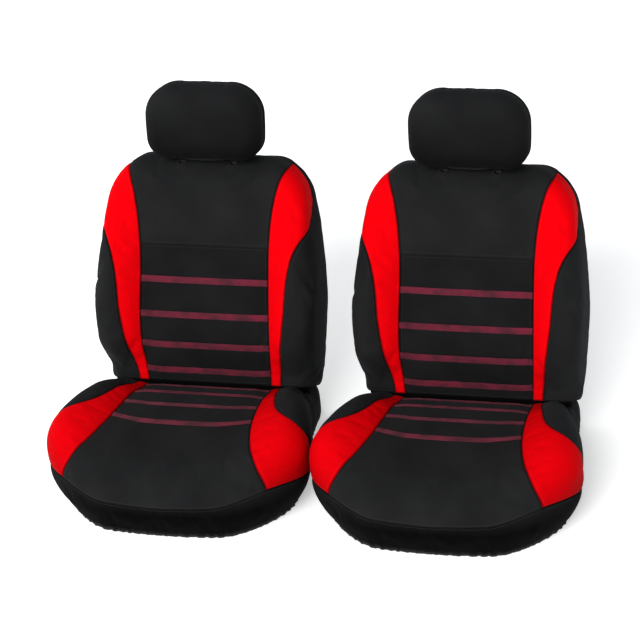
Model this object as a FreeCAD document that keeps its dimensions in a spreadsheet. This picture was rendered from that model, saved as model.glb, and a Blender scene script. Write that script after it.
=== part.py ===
"""Pair of front seat covers: backrest, cushion and headrest covers with their fastenings."""
import FreeCAD, Part
import math
import os

Vector = FreeCAD.Vector
Rotation = FreeCAD.Rotation
Placement = FreeCAD.Placement

# ---------------------------------------------------------------------------
# Sizes in millimetres and degrees
# ---------------------------------------------------------------------------
SIZES = [
    ("fabric_thick", 3.0),
    ("seam_gap", 0.7),
    ("seat_spacing", 632.0),
    ("row_shift", 100.4),
    ("tilt_deg", 18.0),
    ("pivot_y", 75.0),
    ("pivot_z", 120.0),
    ("back_half_width", 262.0),
    ("back_top", 520.0),
    ("back_corner", 100.0),
    ("back_edge", 45.0),
    ("back_rear_edge", 20.0),
    ("back_bolster", 48.0),
    ("back_seam_height", 320.0),
    ("gusset_line", 114.0),
    ("shoulder_angle", 58.0),
    ("side_tuck", 28.0),
    ("cushion_half_width", 275.0),
    ("cushion_front", 442.0),
    ("cushion_rear", 100.0),
    ("cushion_corner", 150.0),
    ("cushion_rear_corner", 40.0),
    ("cushion_edge", 68.0),
    ("cushion_bolster", 40.0),
    ("cushion_bow", 32.0),
    ("cushion_tuck", 40.0),
    ("crease_y", -8.0),
    ("crease_half_width", 157.0),
    ("wing_corner_deg", 44.0),
    ("wing_side_y", -208.0),
    ("band_side", 108.0),
    ("band_top", 84.0),
    ("hem_height", 8.0),
    ("hem_thick", 4.0),
    ("head_half_width", 135.0),
    ("head_half_height", 91.0),
    ("head_corner_low", 50.0),
    ("head_corner_high", 75.0),
    ("head_edge", 45.0),
    ("head_depth", 65.0),
    ("head_tilt_deg", 14.0),
    ("head_rise", 628.0),
    ("head_forward", 45.0),
    ("head_slot_half", 95.0),
    ("head_slot_wide", 36.0),
    ("head_rear_depth", 30.0),
    ("head_rear_edge", 26.0),
    ("hem_ring_wide", 4.0),
    ("post_spacing", 124.0),
    ("post_back", -46.7),
    ("post_hole", 8.0),
    ("post_binding", 2.4),
    ("stripe_width", 15.0),
    ("stripe_thick", 1.0),
    ("stripe_lift", 0.8),
    ("stripe_inset", 2.5),
    ("flap_half_width", 196.0),
    ("flap_radius", 78.0),
    ("flap_thick", 2.0),
    ("flap_start_deg", 162.5),
    ("flap_sweep_deg", 62.0),
    ("strap_width", 25.0),
    ("strap_thick", 1.6),
    ("strap_z", 12.0),
    ("strap_front_y", -451.0),
    ("strap_rear_y", 96.5),
    ("buckle_width", 34.0),
    ("buckle_height", 9.0),
    ("buckle_length", 30.0),
    ("buckle_y", -150.0),
    ("buckle_play", 0.5),
    ("strap_tail", 4.0),
    ("prong_width", 20.0),
    ("prong_height", 4.4),
    ("prong_length", 16.0),
    ("channel_depth", 24.0),
    ("hem_tube", 3.0),
]

# Stations along each cover: (position, size), joined by a smooth curve
BACK_FACE = [(-80, 70), (0, 78), (80, 100), (160, 104), (260, 94), (400, 84), (550, 68)]
BACK_WIDTH = [(-80, 256), (0, 256), (60, 260), (120, 264), (200, 266), (350, 255), (450, 240), (520, 230)]
BACK_REAR = [(-80, 55), (0, 55), (150, 62), (300, 60), (450, 50), (550, 42)]
BACK_INNER = [(0, 154), (50, 156), (100, 157), (300, 157), (400, 169), (470, 194), (522, 230)]
BACK_OUTER = [(0, 180), (60, 187), (160, 198), (240, 206), (300, 221), (342, 248), (375, 296), (414, 330)]
SEAT_TOP = [(-550, 130), (-460, 146), (-360, 166), (-250, 172), (-120, 155), (0, 118), (200, 112)]
SEAT_WIDTH = [(-500, 262), (-420, 284), (-340, 304), (-270, 310), (-180, 294), (-80, 263), (-30, 252),
              (10, 248.5), (60, 248), (200, 248)]
SEAT_INNER = [(-420, 249), (-380, 212), (-330, 186), (-260, 169), (-180, 162), (-100, 160), (0, 157)]
SEAT_OUTER = [(-8, 182), (-90, 194), (-160, 201), (-210, 215), (-238, 237), (-250, 268), (-246, 308),
              (-230, 348)]
BACK_STRIPES = [237, 154, 79, 12]
SEAT_STRIPES = [-23, -86, -154, -225]


# ---------------------------------------------------------------------------
# Document and sheet
# ---------------------------------------------------------------------------
doc = FreeCAD.newDocument("seat_cover_set")
sheet = doc.addObject("Spreadsheet::Sheet", "Sizes")
for row, (alias, value) in enumerate(SIZES, start=1):
    sheet.set("A%d" % row, alias)
    sheet.set("B%d" % row, str(value))
    sheet.setAlias("B%d" % row, alias)
doc.recompute()


READ = {alias: float(sheet.get(alias)) for alias, value in SIZES}


def size(alias):
    return READ[alias]


THICK = size("fabric_thick")
GAP = size("seam_gap")
TILT = math.radians(size("tilt_deg"))
PIVOT_Y = size("pivot_y")
PIVOT_Z = size("pivot_z")


# ---------------------------------------------------------------------------
# Curves
# ---------------------------------------------------------------------------
def smooth(t):
    t = min(max(t, 0.0), 1.0)
    return t * t * (3 - 2 * t)


def station(table, at):
    """Cubic through the table's stations, held at the end values outside it."""
    count = len(table)
    at = min(max(at, table[0][0]), table[-1][0])
    i = 0
    while i < count - 2 and at > table[i + 1][0]:
        i += 1

    def slope(k):
        low, high = max(k - 1, 0), min(k + 1, count - 1)
        return (table[high][1] - table[low][1]) / (table[high][0] - table[low][0])

    x0, y0 = table[i]
    x1, y1 = table[i + 1]
    span = x1 - x0
    t = (at - x0) / span
    return ((2 * t ** 3 - 3 * t ** 2 + 1) * y0 + (t ** 3 - 2 * t ** 2 + t) * span * slope(i)
            + (3 * t ** 2 - 2 * t ** 3) * y1 + (t ** 3 - t ** 2) * span * slope(i + 1))


def path(points):
    """Smooth plane curve through points, as a function of 0..1 by distance along the points."""
    lengths = [0.0]
    for a, b in zip(points, points[1:]):
        lengths.append(lengths[-1] + math.hypot(b[0] - a[0], b[1] - a[1]))
    along_x = [(s, p[0]) for s, p in zip(lengths, points)]
    along_y = [(s, p[1]) for s, p in zip(lengths, points)]
    return lambda t: (station(along_x, t * lengths[-1]), station(along_y, t * lengths[-1]))


def reverse(curve):
    return lambda t: curve(1 - t)


# ---------------------------------------------------------------------------
# Padded forms: a rounded outline with a soft edge, unrolled on a flat pattern
# ---------------------------------------------------------------------------
class Form:
    """Maps a pattern point to the surface of one padded form."""

    def __init__(self, half, low, high, corner_low, corner_high, edge, place):
        self.half = half
        self.low = low
        self.high = high
        self.corners = (corner_low, corner_high)
        self.edge = edge
        self.place = place
        self.runs = [half - corner_low, corner_low * math.pi / 2, high - low - corner_low - corner_high,
                     corner_high * math.pi / 2, half - corner_high]

    def point(self, px, py):
        middle = (self.low + self.high) / 2
        y = py - middle
        corner = self.corners[0] if y < 0 else self.corners[1]
        qx = abs(px) - (self.half - corner)
        qy = abs(y) - ((self.high - self.low) / 2 - corner)
        out_x = math.copysign(1.0, px)
        out_y = math.copysign(1.0, y)
        if qx > 0 and qy > 0:
            reach = math.hypot(qx, qy)
            nx, ny = out_x * qx / reach, out_y * qy / reach
            far = reach - corner
        elif qx > qy:
            nx, ny, far = out_x, 0.0, qx - corner
        else:
            nx, ny, far = 0.0, out_y, qy - corner
        s = far + self.edge
        drop = 0.0
        if s > 0:
            angle = min(s / self.edge, math.pi / 2)
            back = self.edge * math.sin(angle) - self.edge - far
            px += nx * back
            py += ny * back
            drop = self.edge * (1 - math.cos(angle)) + max(s - self.edge * math.pi / 2, 0.0)
        return Vector(*self.place(px, py, drop, nx, ny, s))

    def normal(self, px, py):
        step = 0.5
        along = self.point(px + step, py) - self.point(px - step, py)
        across = self.point(px, py + step) - self.point(px, py - step)
        return along.cross(across).normalize()

    def rim(self, q):
        """Outline point and outward direction, q from 0 (low middle) to 1 (high middle)."""
        low_corner, high_corner = self.corners
        at = min(max(q, 0.0), 1.0) * sum(self.runs)
        if at <= self.runs[0]:
            return at, self.low, 0.0, -1.0
        at -= self.runs[0]
        if at <= self.runs[1]:
            turn = at / low_corner
            nx, ny = math.sin(turn), -math.cos(turn)
            return self.half - low_corner * (1 - nx), self.low + low_corner * (1 + ny), nx, ny
        at -= self.runs[1]
        if at <= self.runs[2]:
            return self.half, self.low + low_corner + at, 1.0, 0.0
        at -= self.runs[2]
        if at <= self.runs[3]:
            turn = at / high_corner
            nx, ny = math.cos(turn), math.sin(turn)
            return self.half - high_corner * (1 - nx), self.high - high_corner * (1 - ny), nx, ny
        at -= self.runs[3]
        return self.half - high_corner - at, self.high, 0.0, 1.0

    def rim_at(self, height):
        """q where the outline's side is at this height."""
        low, high = 0.0, 1.0
        for _ in range(40):
            mid = (low + high) / 2
            if self.rim(mid)[1] < height:
                low = mid
            else:
                high = mid
        return (low + high) / 2

    def rim_turned(self, degrees, high):
        """q where the outline faces this many degrees above (high) or below the side."""
        turn = math.radians(degrees)
        if high:
            return (sum(self.runs[:3]) + self.corners[1] * turn) / sum(self.runs)
        return (self.runs[0] + self.corners[0] * (math.pi / 2 - turn)) / sum(self.runs)

    def out(self, q, s):
        """Pattern point at distance s past the start of the soft edge."""
        x, y, nx, ny = self.rim(q)
        return x + nx * (s - self.edge), y + ny * (s - self.edge)

    def out_until(self, q, test):
        """Pattern point on the way out where test(point) first fails."""
        low, high = 0.0, self.edge * 6
        for _ in range(40):
            mid = (low + high) / 2
            if test(self.point(*self.out(q, mid))):
                low = mid
            else:
                high = mid
        return self.out(q, low)


def back_frame(x, v, w):
    """Backrest frame: v up the leaning back, w towards the rear."""
    return (x, PIVOT_Y + v * math.sin(TILT) + w * math.cos(TILT),
            PIVOT_Z + v * math.cos(TILT) - w * math.sin(TILT))


def back_depth(point):
    return (point.y - PIVOT_Y) * math.cos(TILT) - (point.z - PIVOT_Z) * math.sin(TILT)


def back_spread(x, v):
    reach = station(BACK_WIDTH, v) / size("back_half_width") - 1
    return x * (1 + reach * smooth((abs(x) - 100) / 140))


def place_back_front(x, v, drop, nx, ny, s):
    top = size("back_top")
    bolster = size("back_bolster") * smooth((abs(x) - 140) / 90) * smooth((top - 20 - v) / 280)
    w = drop - station(BACK_FACE, v) - bolster * smooth(v / 100)
    return back_frame(back_spread(x, v), v, w)


def place_back_rear(x, v, drop, nx, ny, s):
    return back_frame(back_spread(x, v), v, station(BACK_REAR, v) - drop)


def place_cushion(x, y, drop, nx, ny, s):
    side = smooth((abs(x) - 140) / 110) * smooth((y + 500) / 260)
    rise = size("cushion_bolster") * side * (1 - 0.75 * smooth((y + 120) / 160))
    z = station(SEAT_TOP, y) + rise - drop
    tuck = 0.0
    if s > 0:
        low = min(max((85 - z) / 85, 0.0), 1.0)
        tuck = size("cushion_tuck") * low ** 1.6 * (0.6 + 0.4 * nx * nx) * smooth((-y - 10) / 90)
    bow = size("cushion_bow") * (1 - (x / size("cushion_half_width")) ** 2) * smooth((-200 - y) / 220)
    reach = station(SEAT_WIDTH, y) / size("cushion_half_width") - 1
    x *= 1 + reach * smooth((abs(x) - 120) / 140)
    return x - nx * tuck, y - bow - ny * tuck, z


def head_frame(x, v, w):
    turn = math.radians(size("head_tilt_deg"))
    y0 = PIVOT_Y + size("head_rise") * math.sin(TILT) - size("head_forward")
    z0 = PIVOT_Z + size("head_rise") * math.cos(TILT)
    return (x, y0 + v * math.sin(turn) + w * math.cos(turn),
            z0 + v * math.cos(turn) - w * math.sin(turn))


def head_belly(x, v):
    return max(1 - (x / size("head_half_width")) ** 2, 0.0) * max(1 - (v / size("head_half_height")) ** 2, 0.0)


def place_head_front(x, v, drop, nx, ny, s):
    w = drop - size("head_depth") - 12 * head_belly(x, v)
    return head_frame(x * (1 + 0.04 * math.cos(v / 65)), v, w)


def place_head_rear(x, v, drop, nx, ny, s):
    w = size("head_rear_depth") + 6 * head_belly(x, v) - drop
    return head_frame(x * (1 + 0.04 * math.cos(v / 65)), v, w)


back_front = Form(size("back_half_width"), -400, size("back_top"), 50, size("back_corner"),
                  size("back_edge"), place_back_front)
back_rear = Form(size("back_half_width"), -400, size("back_top"), 50, size("back_corner"),
                 size("back_rear_edge"), place_back_rear)
cushion = Form(size("cushion_half_width"), -size("cushion_front"), size("cushion_rear"),
               size("cushion_corner"), size("cushion_rear_corner"), size("cushion_edge"), place_cushion)
head_front = Form(size("head_half_width"), -size("head_half_height"), size("head_half_height"),
                  size("head_corner_low"), size("head_corner_high"), size("head_edge"), place_head_front)
head_rear = Form(size("head_half_width"), -size("head_half_height"), size("head_half_height"),
                 size("head_corner_low"), size("head_corner_high"), size("head_rear_edge"),
                 place_head_rear)


# ---------------------------------------------------------------------------
# Fabric panels
# ---------------------------------------------------------------------------
def skin(rows):
    surface = Part.BSplineSurface()
    surface.interpolate(rows)
    return surface


def thick_panel(outer, inner):
    """Closed solid between two grids of points."""
    top = skin(outer)
    under = skin(inner)
    u0, u1, v0, v1 = top.bounds()
    a0, a1, b0, b1 = under.bounds()
    faces = [top.toShape(), under.toShape()]
    edges = [(top.uIso(u0), under.uIso(a0)), (top.uIso(u1), under.uIso(a1)),
             (top.vIso(v0), under.vIso(b0)), (top.vIso(v1), under.vIso(b1))]
    for upper, lower in edges:
        faces.append(Part.makeRuledSurface(upper.toShape(), lower.toShape(), 1))
    shell = Part.Shell(faces)
    shell.sewShape()
    solid = Part.Solid(shell)
    if solid.Volume < 0:
        solid.reverse()
    return solid


def panel(form, low, high, left, right, across, along, turned=1, lift=0.0, thick=None):
    """Panel between four pattern curves: low/high run across, left/right run up."""
    thick = THICK if thick is None else thick
    corner = [low(0), low(1), high(0), high(1)]
    wide = max(math.dist(corner[0], corner[1]), math.dist(corner[2], corner[3]), 20)
    tall = max(math.dist(corner[0], corner[2]), math.dist(corner[1], corner[3]), 8)
    us = [GAP / wide + (1 - 2 * GAP / wide) * i / across for i in range(across + 1)]
    vs = [GAP / tall + (1 - 2 * GAP / tall) * j / along for j in range(along + 1)]
    lows = [low(u) for u in us]
    highs = [high(u) for u in us]
    lefts = [left(v) for v in vs]
    rights = [right(v) for v in vs]
    outer, inner = [], []
    for u, below, above in zip(us, lows, highs):
        outer_row, inner_row = [], []
        for v, before, after in zip(vs, lefts, rights):
            spot = []
            for k in (0, 1):
                edges = (1 - v) * below[k] + v * above[k] + (1 - u) * before[k] + u * after[k]
                flat = ((1 - u) * (1 - v) * corner[0][k] + u * (1 - v) * corner[1][k]
                        + (1 - u) * v * corner[2][k] + u * v * corner[3][k])
                spot.append(edges - flat)
            point = form.point(*spot)
            normal = form.normal(*spot) * turned
            outer_row.append(point + normal * (lift + thick if lift else 0.0))
            inner_row.append(point + normal * (lift if lift else -thick))
        outer.append(outer_row)
        inner.append(inner_row)
    return thick_panel(outer, inner)


def mirrored(shape):
    return shape.mirror(Vector(0, 0, 0), Vector(1, 0, 0))


def flip(curve):
    """The same pattern curve on the other side of the centre line."""
    return lambda t: (-curve(t)[0], curve(t)[1])


def part_of(curve, start, end):
    """The stretch of a pattern curve between two of its own 0..1 positions."""
    return lambda t: curve(start + (end - start) * t)


def where(curve, test):
    """Position along a curve where test(pattern point) first fails."""
    low, high = 0.0, 1.0
    for _ in range(40):
        mid = (low + high) / 2
        if test(curve(mid)):
            low = mid
        else:
            high = mid
    return low


def line(a, b):
    return lambda t: (a[0] + (b[0] - a[0]) * t, a[1] + (b[1] - a[1]) * t)


def across_front(edge, q_end, q_middle):
    """Edge from the left, through the middle, to the right, given its right half by rim position."""
    def curve(t):
        u = 2 * t - 1
        x, y = edge(q_middle + (q_end - q_middle) * abs(u))
        return math.copysign(x, u), y
    return curve


panels = {}


def add_pair(name, shape):
    """A panel on the -X side and its mirror image on the +X side of one seat."""
    panels[name + "_left"] = shape
    panels[name + "_right"] = mirrored(shape)


# ---------------------------------------------------------------------------
# Backrest cover panels
# ---------------------------------------------------------------------------
def back_side_end(q):
    """Where the side wall meets the rear panel."""
    def before_seam(point):
        v = (point.y - PIVOT_Y) * math.sin(TILT) + (point.z - PIVOT_Z) * math.cos(TILT)
        return back_depth(point) < station(BACK_REAR, v) - size("back_rear_edge") - GAP
    return back_front.out_until(q, before_seam)


q_shoulder = back_front.rim_turned(size("shoulder_angle"), True)
q_foot = back_front.rim_at(0)
q_gusset = back_front.rim_at(BACK_OUTER[-1][0])
gusset_line = [back_front.out(q_gusset + (q_shoulder - q_gusset) * k / 6, size("gusset_line"))
               for k in range(7)]
inner_seam = path([(x, v) for v, x in BACK_INNER]
                  + [gusset_line[-1], back_side_end(q_shoulder)])
outer_seam = path([(x, v) for v, x in BACK_OUTER[:-1]] + gusset_line)
inner_mid = where(inner_seam, lambda p: p[1] < size("back_seam_height"))
inner_top = where(inner_seam, lambda p: math.dist(p, inner_seam(0)) < math.dist(gusset_line[-1], inner_seam(0)))
outer_top = where(outer_seam, lambda p: p[1] < BACK_OUTER[-1][0])

seam_left, seam_right = flip(inner_seam)(inner_mid), inner_seam(inner_mid)
centre_side = part_of(inner_seam, inner_mid, 1)
panels["back_center_panel"] = panel(
    back_front, line(seam_left, seam_right), across_front(back_side_end, q_shoulder, 1.0),
    flip(centre_side), centre_side, 22, 18)
ribbed_side = part_of(inner_seam, 0, inner_mid)
panels["back_ribbed_panel"] = panel(
    back_front, line(flip(inner_seam)(0), inner_seam(0)), line(seam_left, seam_right),
    flip(ribbed_side), ribbed_side, 14, 14)
add_pair("back_red_panel", mirrored(panel(
    back_front, line(inner_seam(0), outer_seam(0)), reverse(part_of(outer_seam, outer_top, 1)),
    part_of(inner_seam, 0, inner_top), part_of(outer_seam, 0, outer_top), 10, 26)))

edge_start = size("back_half_width") - size("back_edge")
foot_end = back_side_end(q_foot)
foot_edge = path([outer_seam(0), (edge_start + 60, 0), (edge_start + 82, -size("side_tuck")),
                  (foot_end[0] - 26, -size("side_tuck")), foot_end])
add_pair("back_side_panel", mirrored(panel(
    back_front, foot_edge, line(outer_seam(1), back_side_end(q_shoulder)), outer_seam,
    lambda t: back_side_end(q_foot + (q_shoulder - q_foot) * t), 16, 34)))

rear_s = size("back_rear_edge") * math.pi / 2
q_arc = back_rear.rim_turned(45, True)
rear_foot = back_rear.out(q_foot, rear_s)


def rear_side(t):
    return back_rear.out(q_foot + (q_arc - q_foot) * t, rear_s)


panels["back_rear_panel"] = panel(
    back_rear, line((-rear_foot[0], 0), rear_foot),
    across_front(lambda q: back_rear.out(q, rear_s), q_arc, 1.0), flip(rear_side), rear_side,
    26, 24, turned=-1)


def post_cylinder(side, radius):
    """Round bar along one headrest post, through the top of the backrest cover."""
    below = size("back_top") - 40
    base = Vector(*back_frame(side * size("post_spacing") / 2, below, size("post_back")))
    return Part.makeCylinder(radius, 60, base, Vector(0, math.sin(TILT), math.cos(TILT)))


for side, suffix in ((-1, "left"), (1, "right")):
    top = panels["back_center_panel"]
    rim_radius = size("post_hole") + size("post_binding")
    binding = top.common(post_cylinder(side, rim_radius)).cut(post_cylinder(side, size("post_hole")))
    panels["back_post_binding_" + suffix] = binding
    panels["back_center_panel"] = top.cut(post_cylinder(side, rim_radius + GAP))


# ---------------------------------------------------------------------------
# Cushion cover panels
# ---------------------------------------------------------------------------
def cushion_down_to(q, z):
    return cushion.out_until(q, lambda point: point.z > z)


HEM = size("hem_height") + GAP
q_corner = cushion.rim_turned(size("wing_corner_deg"), False)
q_side = cushion.rim_at(size("wing_side_y"))
q_crease = cushion.rim_at(size("crease_y"))


def skirt_top(q):
    share = [(0.0, 92), (q_corner * 0.55, 97), (q_corner, 113), ((q_corner + q_side) / 2, 90), (q_side, 56)]
    return cushion_down_to(q, station(share, q))


crease = size("crease_y")
corner_point = skirt_top(q_corner)
side_point = skirt_top(q_side)
crease_half = size("crease_half_width")
wing_inner = path([corner_point] + [(x, y) for y, x in SEAT_INNER[1:-1]] + [(crease_half, crease)])
wing_outer = path([side_point] + [(x, y) for y, x in reversed(SEAT_OUTER)])
panels["seat_center_panel"] = panel(
    cushion, across_front(skirt_top, q_corner, 0.0), line((-crease_half, crease), (crease_half, crease)),
    flip(wing_inner), wing_inner, 18, 22)
add_pair("seat_red_wing", mirrored(panel(
    cushion, lambda t: skirt_top(q_corner + (q_side - q_corner) * t),
    line(wing_inner(1), wing_outer(1)), wing_inner, wing_outer, 18, 28)))
add_pair("seat_side_panel", mirrored(panel(
    cushion, lambda t: cushion_down_to(q_side + (q_crease - q_side) * t, HEM), wing_outer,
    line(cushion_down_to(q_side, HEM), side_point), line(cushion_down_to(q_crease, HEM), wing_outer(1)),
    24, 24)))
skirt_end = line(cushion_down_to(q_side, HEM), side_point)
panels["seat_front_skirt"] = panel(
    cushion, across_front(lambda q: cushion_down_to(q, HEM), q_side, 0.0),
    across_front(skirt_top, q_side, 0.0), flip(skirt_end), skirt_end, 44, 8)


def band_top(q):
    heights = [(q_crease, size("band_side")), (cushion.rim_turned(45, True), size("band_top") + 6),
               (1.0, size("band_top"))]
    return cushion_down_to(q, station(heights, q))


band_end = line(cushion_down_to(q_crease, HEM), band_top(q_crease))
panels["seat_rear_band"] = panel(
    cushion, across_front(lambda q: cushion_down_to(q, HEM), q_crease, 1.0),
    across_front(band_top, q_crease, 1.0), flip(band_end), band_end, 60, 4)


def hem_ring():
    """Elastic band sewn round the open underside."""
    steps = 36
    outer, inner = [], []
    for side in (1, -1):
        order = range(steps + 1) if side > 0 else range(steps - 1, 0, -1)
        for k in order:
            q = k / steps
            point = cushion.point(*cushion_down_to(q, HEM))
            nx, ny = cushion.rim(q)[2:]
            outer.append(Vector(side * point.x, point.y, 0))
            inner.append(Vector(side * (point.x - nx * size("hem_thick")), point.y - ny * size("hem_thick"), 0))
    wires = []
    for ring in (outer, inner):
        curve = Part.BSplineCurve()
        curve.interpolate(ring, PeriodicFlag=True)
        wires.append(Part.Wire([curve.toShape()]))
    solids = [Part.Face(wire).extrude(Vector(0, 0, size("hem_height"))) for wire in wires]
    return solids[0].cut(solids[1])


panels["seat_hem_elastic"] = hem_ring()


# ---------------------------------------------------------------------------
# Stripes sewn on the middle panels
# ---------------------------------------------------------------------------
def stripe(form, edge_at, at):
    half = size("stripe_width") / 2
    reach = edge_at(at) - size("stripe_inset")
    return panel(form, line((-reach, at - half), (reach, at - half)), line((-reach, at + half), (reach, at + half)),
                 line((-reach, at - half), (-reach, at + half)), line((reach, at - half), (reach, at + half)),
                 14, 3, lift=size("stripe_lift"), thick=size("stripe_thick"))


panels["back_stripes"] = Part.makeCompound(
    [stripe(back_front, lambda v: station(BACK_INNER, v), v) for v in BACK_STRIPES])
panels["seat_stripes"] = Part.makeCompound(
    [stripe(cushion, lambda y: station(SEAT_INNER, y), y) for y in SEAT_STRIPES])


# ---------------------------------------------------------------------------
# Headrest cover panels
# ---------------------------------------------------------------------------
def head_depth(point):
    turn = math.radians(size("head_tilt_deg"))
    centre = Vector(*head_frame(0, 0, 0))
    return (point.y - centre.y) * math.cos(turn) - (point.z - centre.z) * math.sin(turn)


def head_slot(x):
    return size("head_slot_wide") * max(1 - (x / size("head_slot_half")) ** 2, 0.0)


def head_front_end(q):
    low_side = q < 0.5
    return head_front.out_until(
        q, lambda point: head_depth(point) < (-head_slot(point.x) if low_side else 0.0) - GAP / 2)


def head_rear_end(q):
    return head_rear.out_until(q, lambda point: head_depth(point) > GAP / 2)


def head_panel(form, end, turned):
    q_low = form.rim_turned(45, False)
    q_high = form.rim_turned(45, True)
    side = part_of(end, q_low, q_high)
    return panel(form, across_front(end, q_low, 0.0), across_front(end, q_high, 1.0),
                 flip(side), side, 28, 24, turned=turned)


panels["head_front_panel"] = head_panel(head_front, head_front_end, 1)
panels["head_rear_panel"] = head_panel(head_rear, head_rear_end, -1)


def head_hem():
    """Elastic round the slot that lets the headrest posts through."""
    low = -size("head_half_height")
    wide, half = size("head_slot_wide"), size("head_slot_half")
    faces = []
    for inset in (0.8, 0.8 + size("hem_ring_wide")):
        deep = wide - inset
        reach = (half - 1.4 * inset) * math.sqrt(1 - inset / deep)
        xs = [reach * (k / 8 - 1) for k in range(17)]
        arc = Part.BSplineCurve()
        arc.interpolate([Vector(*head_frame(x, low, -deep * (1 - (x / (half - 1.4 * inset)) ** 2))) for x in xs])
        rear = Part.makeLine(arc.EndPoint, arc.StartPoint)
        faces.append(Part.Face(Part.Wire([arc.toShape(), rear])))
    rise = Vector(*head_frame(0, THICK, 0)) - Vector(*head_frame(0, 0, 0))
    return faces[0].extrude(rise).cut(faces[1].extrude(rise))


panels["head_hem_elastic"] = head_hem()


# ---------------------------------------------------------------------------
# Both seats: panels, then the fastenings as bound primitives
# ---------------------------------------------------------------------------
nodes = {}


def bind(item, **rules):
    for prop, rule in rules.items():
        item.setExpression(prop, rule)
    return item


def seat_place(side):
    return Placement(Vector(side * size("seat_spacing") / 2, size("row_shift"), 0), Rotation())


def keep(name, item, side):
    item.Label = name
    item.Placement = seat_place(side).multiply(item.Placement)
    nodes[name] = item


def block(name, width, length, height, y, z):
    """Box centred on x = 0, all sizes bound to the sheet."""
    box = doc.addObject("Part::Box", name)
    bind(box, Width=length, Length=width, Height=height)
    box.setExpression("Placement.Base.x", "-(%s) / 2" % width)
    box.setExpression("Placement.Base.y", y)
    box.setExpression("Placement.Base.z", z)
    return box


def cut(name, base, tool):
    item = doc.addObject("Part::Cut", name)
    item.Base = base
    item.Tool = tool
    return item


def fuse(name, first, second):
    item = doc.addObject("Part::Fuse", name)
    item.Base = first
    item.Tool = second
    return item


def shifted(name, item):
    """A boolean of one, so that a bound box can still be placed with its seat."""
    group = doc.addObject("Part::Compound", name)
    group.Links = [item]
    return group


BUCKLE_Z = "Sizes.strap_z + Sizes.strap_thick / 2 - Sizes.buckle_height / 2"
PRONG_Z = "Sizes.strap_z + Sizes.strap_thick / 2 - Sizes.prong_height / 2"
MALE_LENGTH = "Sizes.channel_depth + Sizes.strap_tail"
MALE_Y = "Sizes.buckle_y - Sizes.buckle_play - Sizes.channel_depth - Sizes.strap_tail"


def add_fastenings(side, prefix):
    strap_front = block(prefix + "strap_front_box", "Sizes.strap_width",
                        MALE_Y + " + Sizes.strap_tail - Sizes.strap_front_y", "Sizes.strap_thick",
                        "Sizes.strap_front_y", "Sizes.strap_z")
    keep(prefix + "seat_strap_front", shifted(prefix + "seat_strap_front", strap_front), side)

    strap_rear = block(prefix + "strap_rear_box", "Sizes.strap_width",
                       "Sizes.strap_rear_y - Sizes.buckle_y - Sizes.buckle_length - Sizes.seam_gap",
                       "Sizes.strap_thick", "Sizes.buckle_y + Sizes.buckle_length + Sizes.seam_gap",
                       "Sizes.strap_z")
    keep(prefix + "seat_strap_rear", shifted(prefix + "seat_strap_rear", strap_rear), side)

    shell = block(prefix + "buckle_shell", "Sizes.buckle_width", "Sizes.buckle_length",
                  "Sizes.buckle_height", "Sizes.buckle_y", BUCKLE_Z)
    socket = block(prefix + "buckle_socket", "Sizes.prong_width + 2 * Sizes.buckle_play",
                   "Sizes.prong_length + 2 * Sizes.buckle_play",
                   "Sizes.prong_height + 2 * Sizes.buckle_play",
                   "Sizes.buckle_y - Sizes.buckle_play", PRONG_Z + " - Sizes.buckle_play")
    keep(prefix + "buckle_socket_half", cut(prefix + "buckle_socket_half", shell, socket), side)

    body = block(prefix + "buckle_body", "Sizes.buckle_width", MALE_LENGTH, "Sizes.buckle_height",
                 MALE_Y, BUCKLE_Z)
    channel = block(prefix + "buckle_channel", "Sizes.strap_width + 2 * Sizes.buckle_play",
                    "Sizes.channel_depth + 1", "Sizes.strap_thick + 2 * Sizes.buckle_play",
                    MALE_Y + " - 1", "Sizes.strap_z - Sizes.buckle_play")
    prong = block(prefix + "buckle_prong", "Sizes.prong_width", "Sizes.prong_length + 1",
                  "Sizes.prong_height", "Sizes.buckle_y - Sizes.buckle_play - 1", PRONG_Z)
    hollow = cut(prefix + "buckle_hollow_body", body, channel)
    keep(prefix + "buckle_prong_half", fuse(prefix + "buckle_prong_half", hollow, prong), side)


def lying_cylinder(name, radius, length, y, z):
    """Cylinder along X, centred on x = 0."""
    item = doc.addObject("Part::Cylinder", name)
    bind(item, Radius=radius, Height=length)
    item.Placement = Placement(Vector(0, y, z), Rotation(Vector(0, 1, 0), Vector(0, 0, 1), Vector(1, 0, 0), "ZXY"))
    item.setExpression("Placement.Base.x", "-(%s) / 2" % length)
    return item


def add_back_trim(side, prefix):
    x, y, z = back_frame(0, -size("hem_tube") - GAP, station(BACK_REAR, 0) - THICK / 2)
    hem = lying_cylinder(prefix + "back_hem_roll", "Sizes.hem_tube", "2 * Sizes.back_half_width - 90", y, z)
    keep(prefix + "back_hem_elastic", shifted(prefix + "back_hem_elastic", hem), side)

    rounds = []
    for label, radius in (("outer", "Sizes.flap_radius"), ("inner", "Sizes.flap_radius - Sizes.flap_thick")):
        length = "2 * Sizes.flap_half_width" if label == "outer" else "2 * Sizes.flap_half_width + 2"
        item = lying_cylinder(prefix + "flap_" + label, radius, length, PIVOT_Y, PIVOT_Z)
        turn = Rotation(Vector(1, 0, 0), size("flap_start_deg"))
        item.Placement = Placement(item.Placement.Base, turn.multiply(item.Placement.Rotation))
        if label == "outer":
            item.setExpression("Angle", "Sizes.flap_sweep_deg")
        rounds.append(item)
    keep(prefix + "crease_flap", cut(prefix + "crease_flap", *rounds), side)


for side, prefix in ((-1, "left_"), (1, "right_")):
    for name, shape in panels.items():
        feature = doc.addObject("Part::Feature", prefix + name)
        feature.Shape = shape
        keep(prefix + name, feature, side)
    add_back_trim(side, prefix)
    add_fastenings(side, prefix)

doc.recompute()

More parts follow.
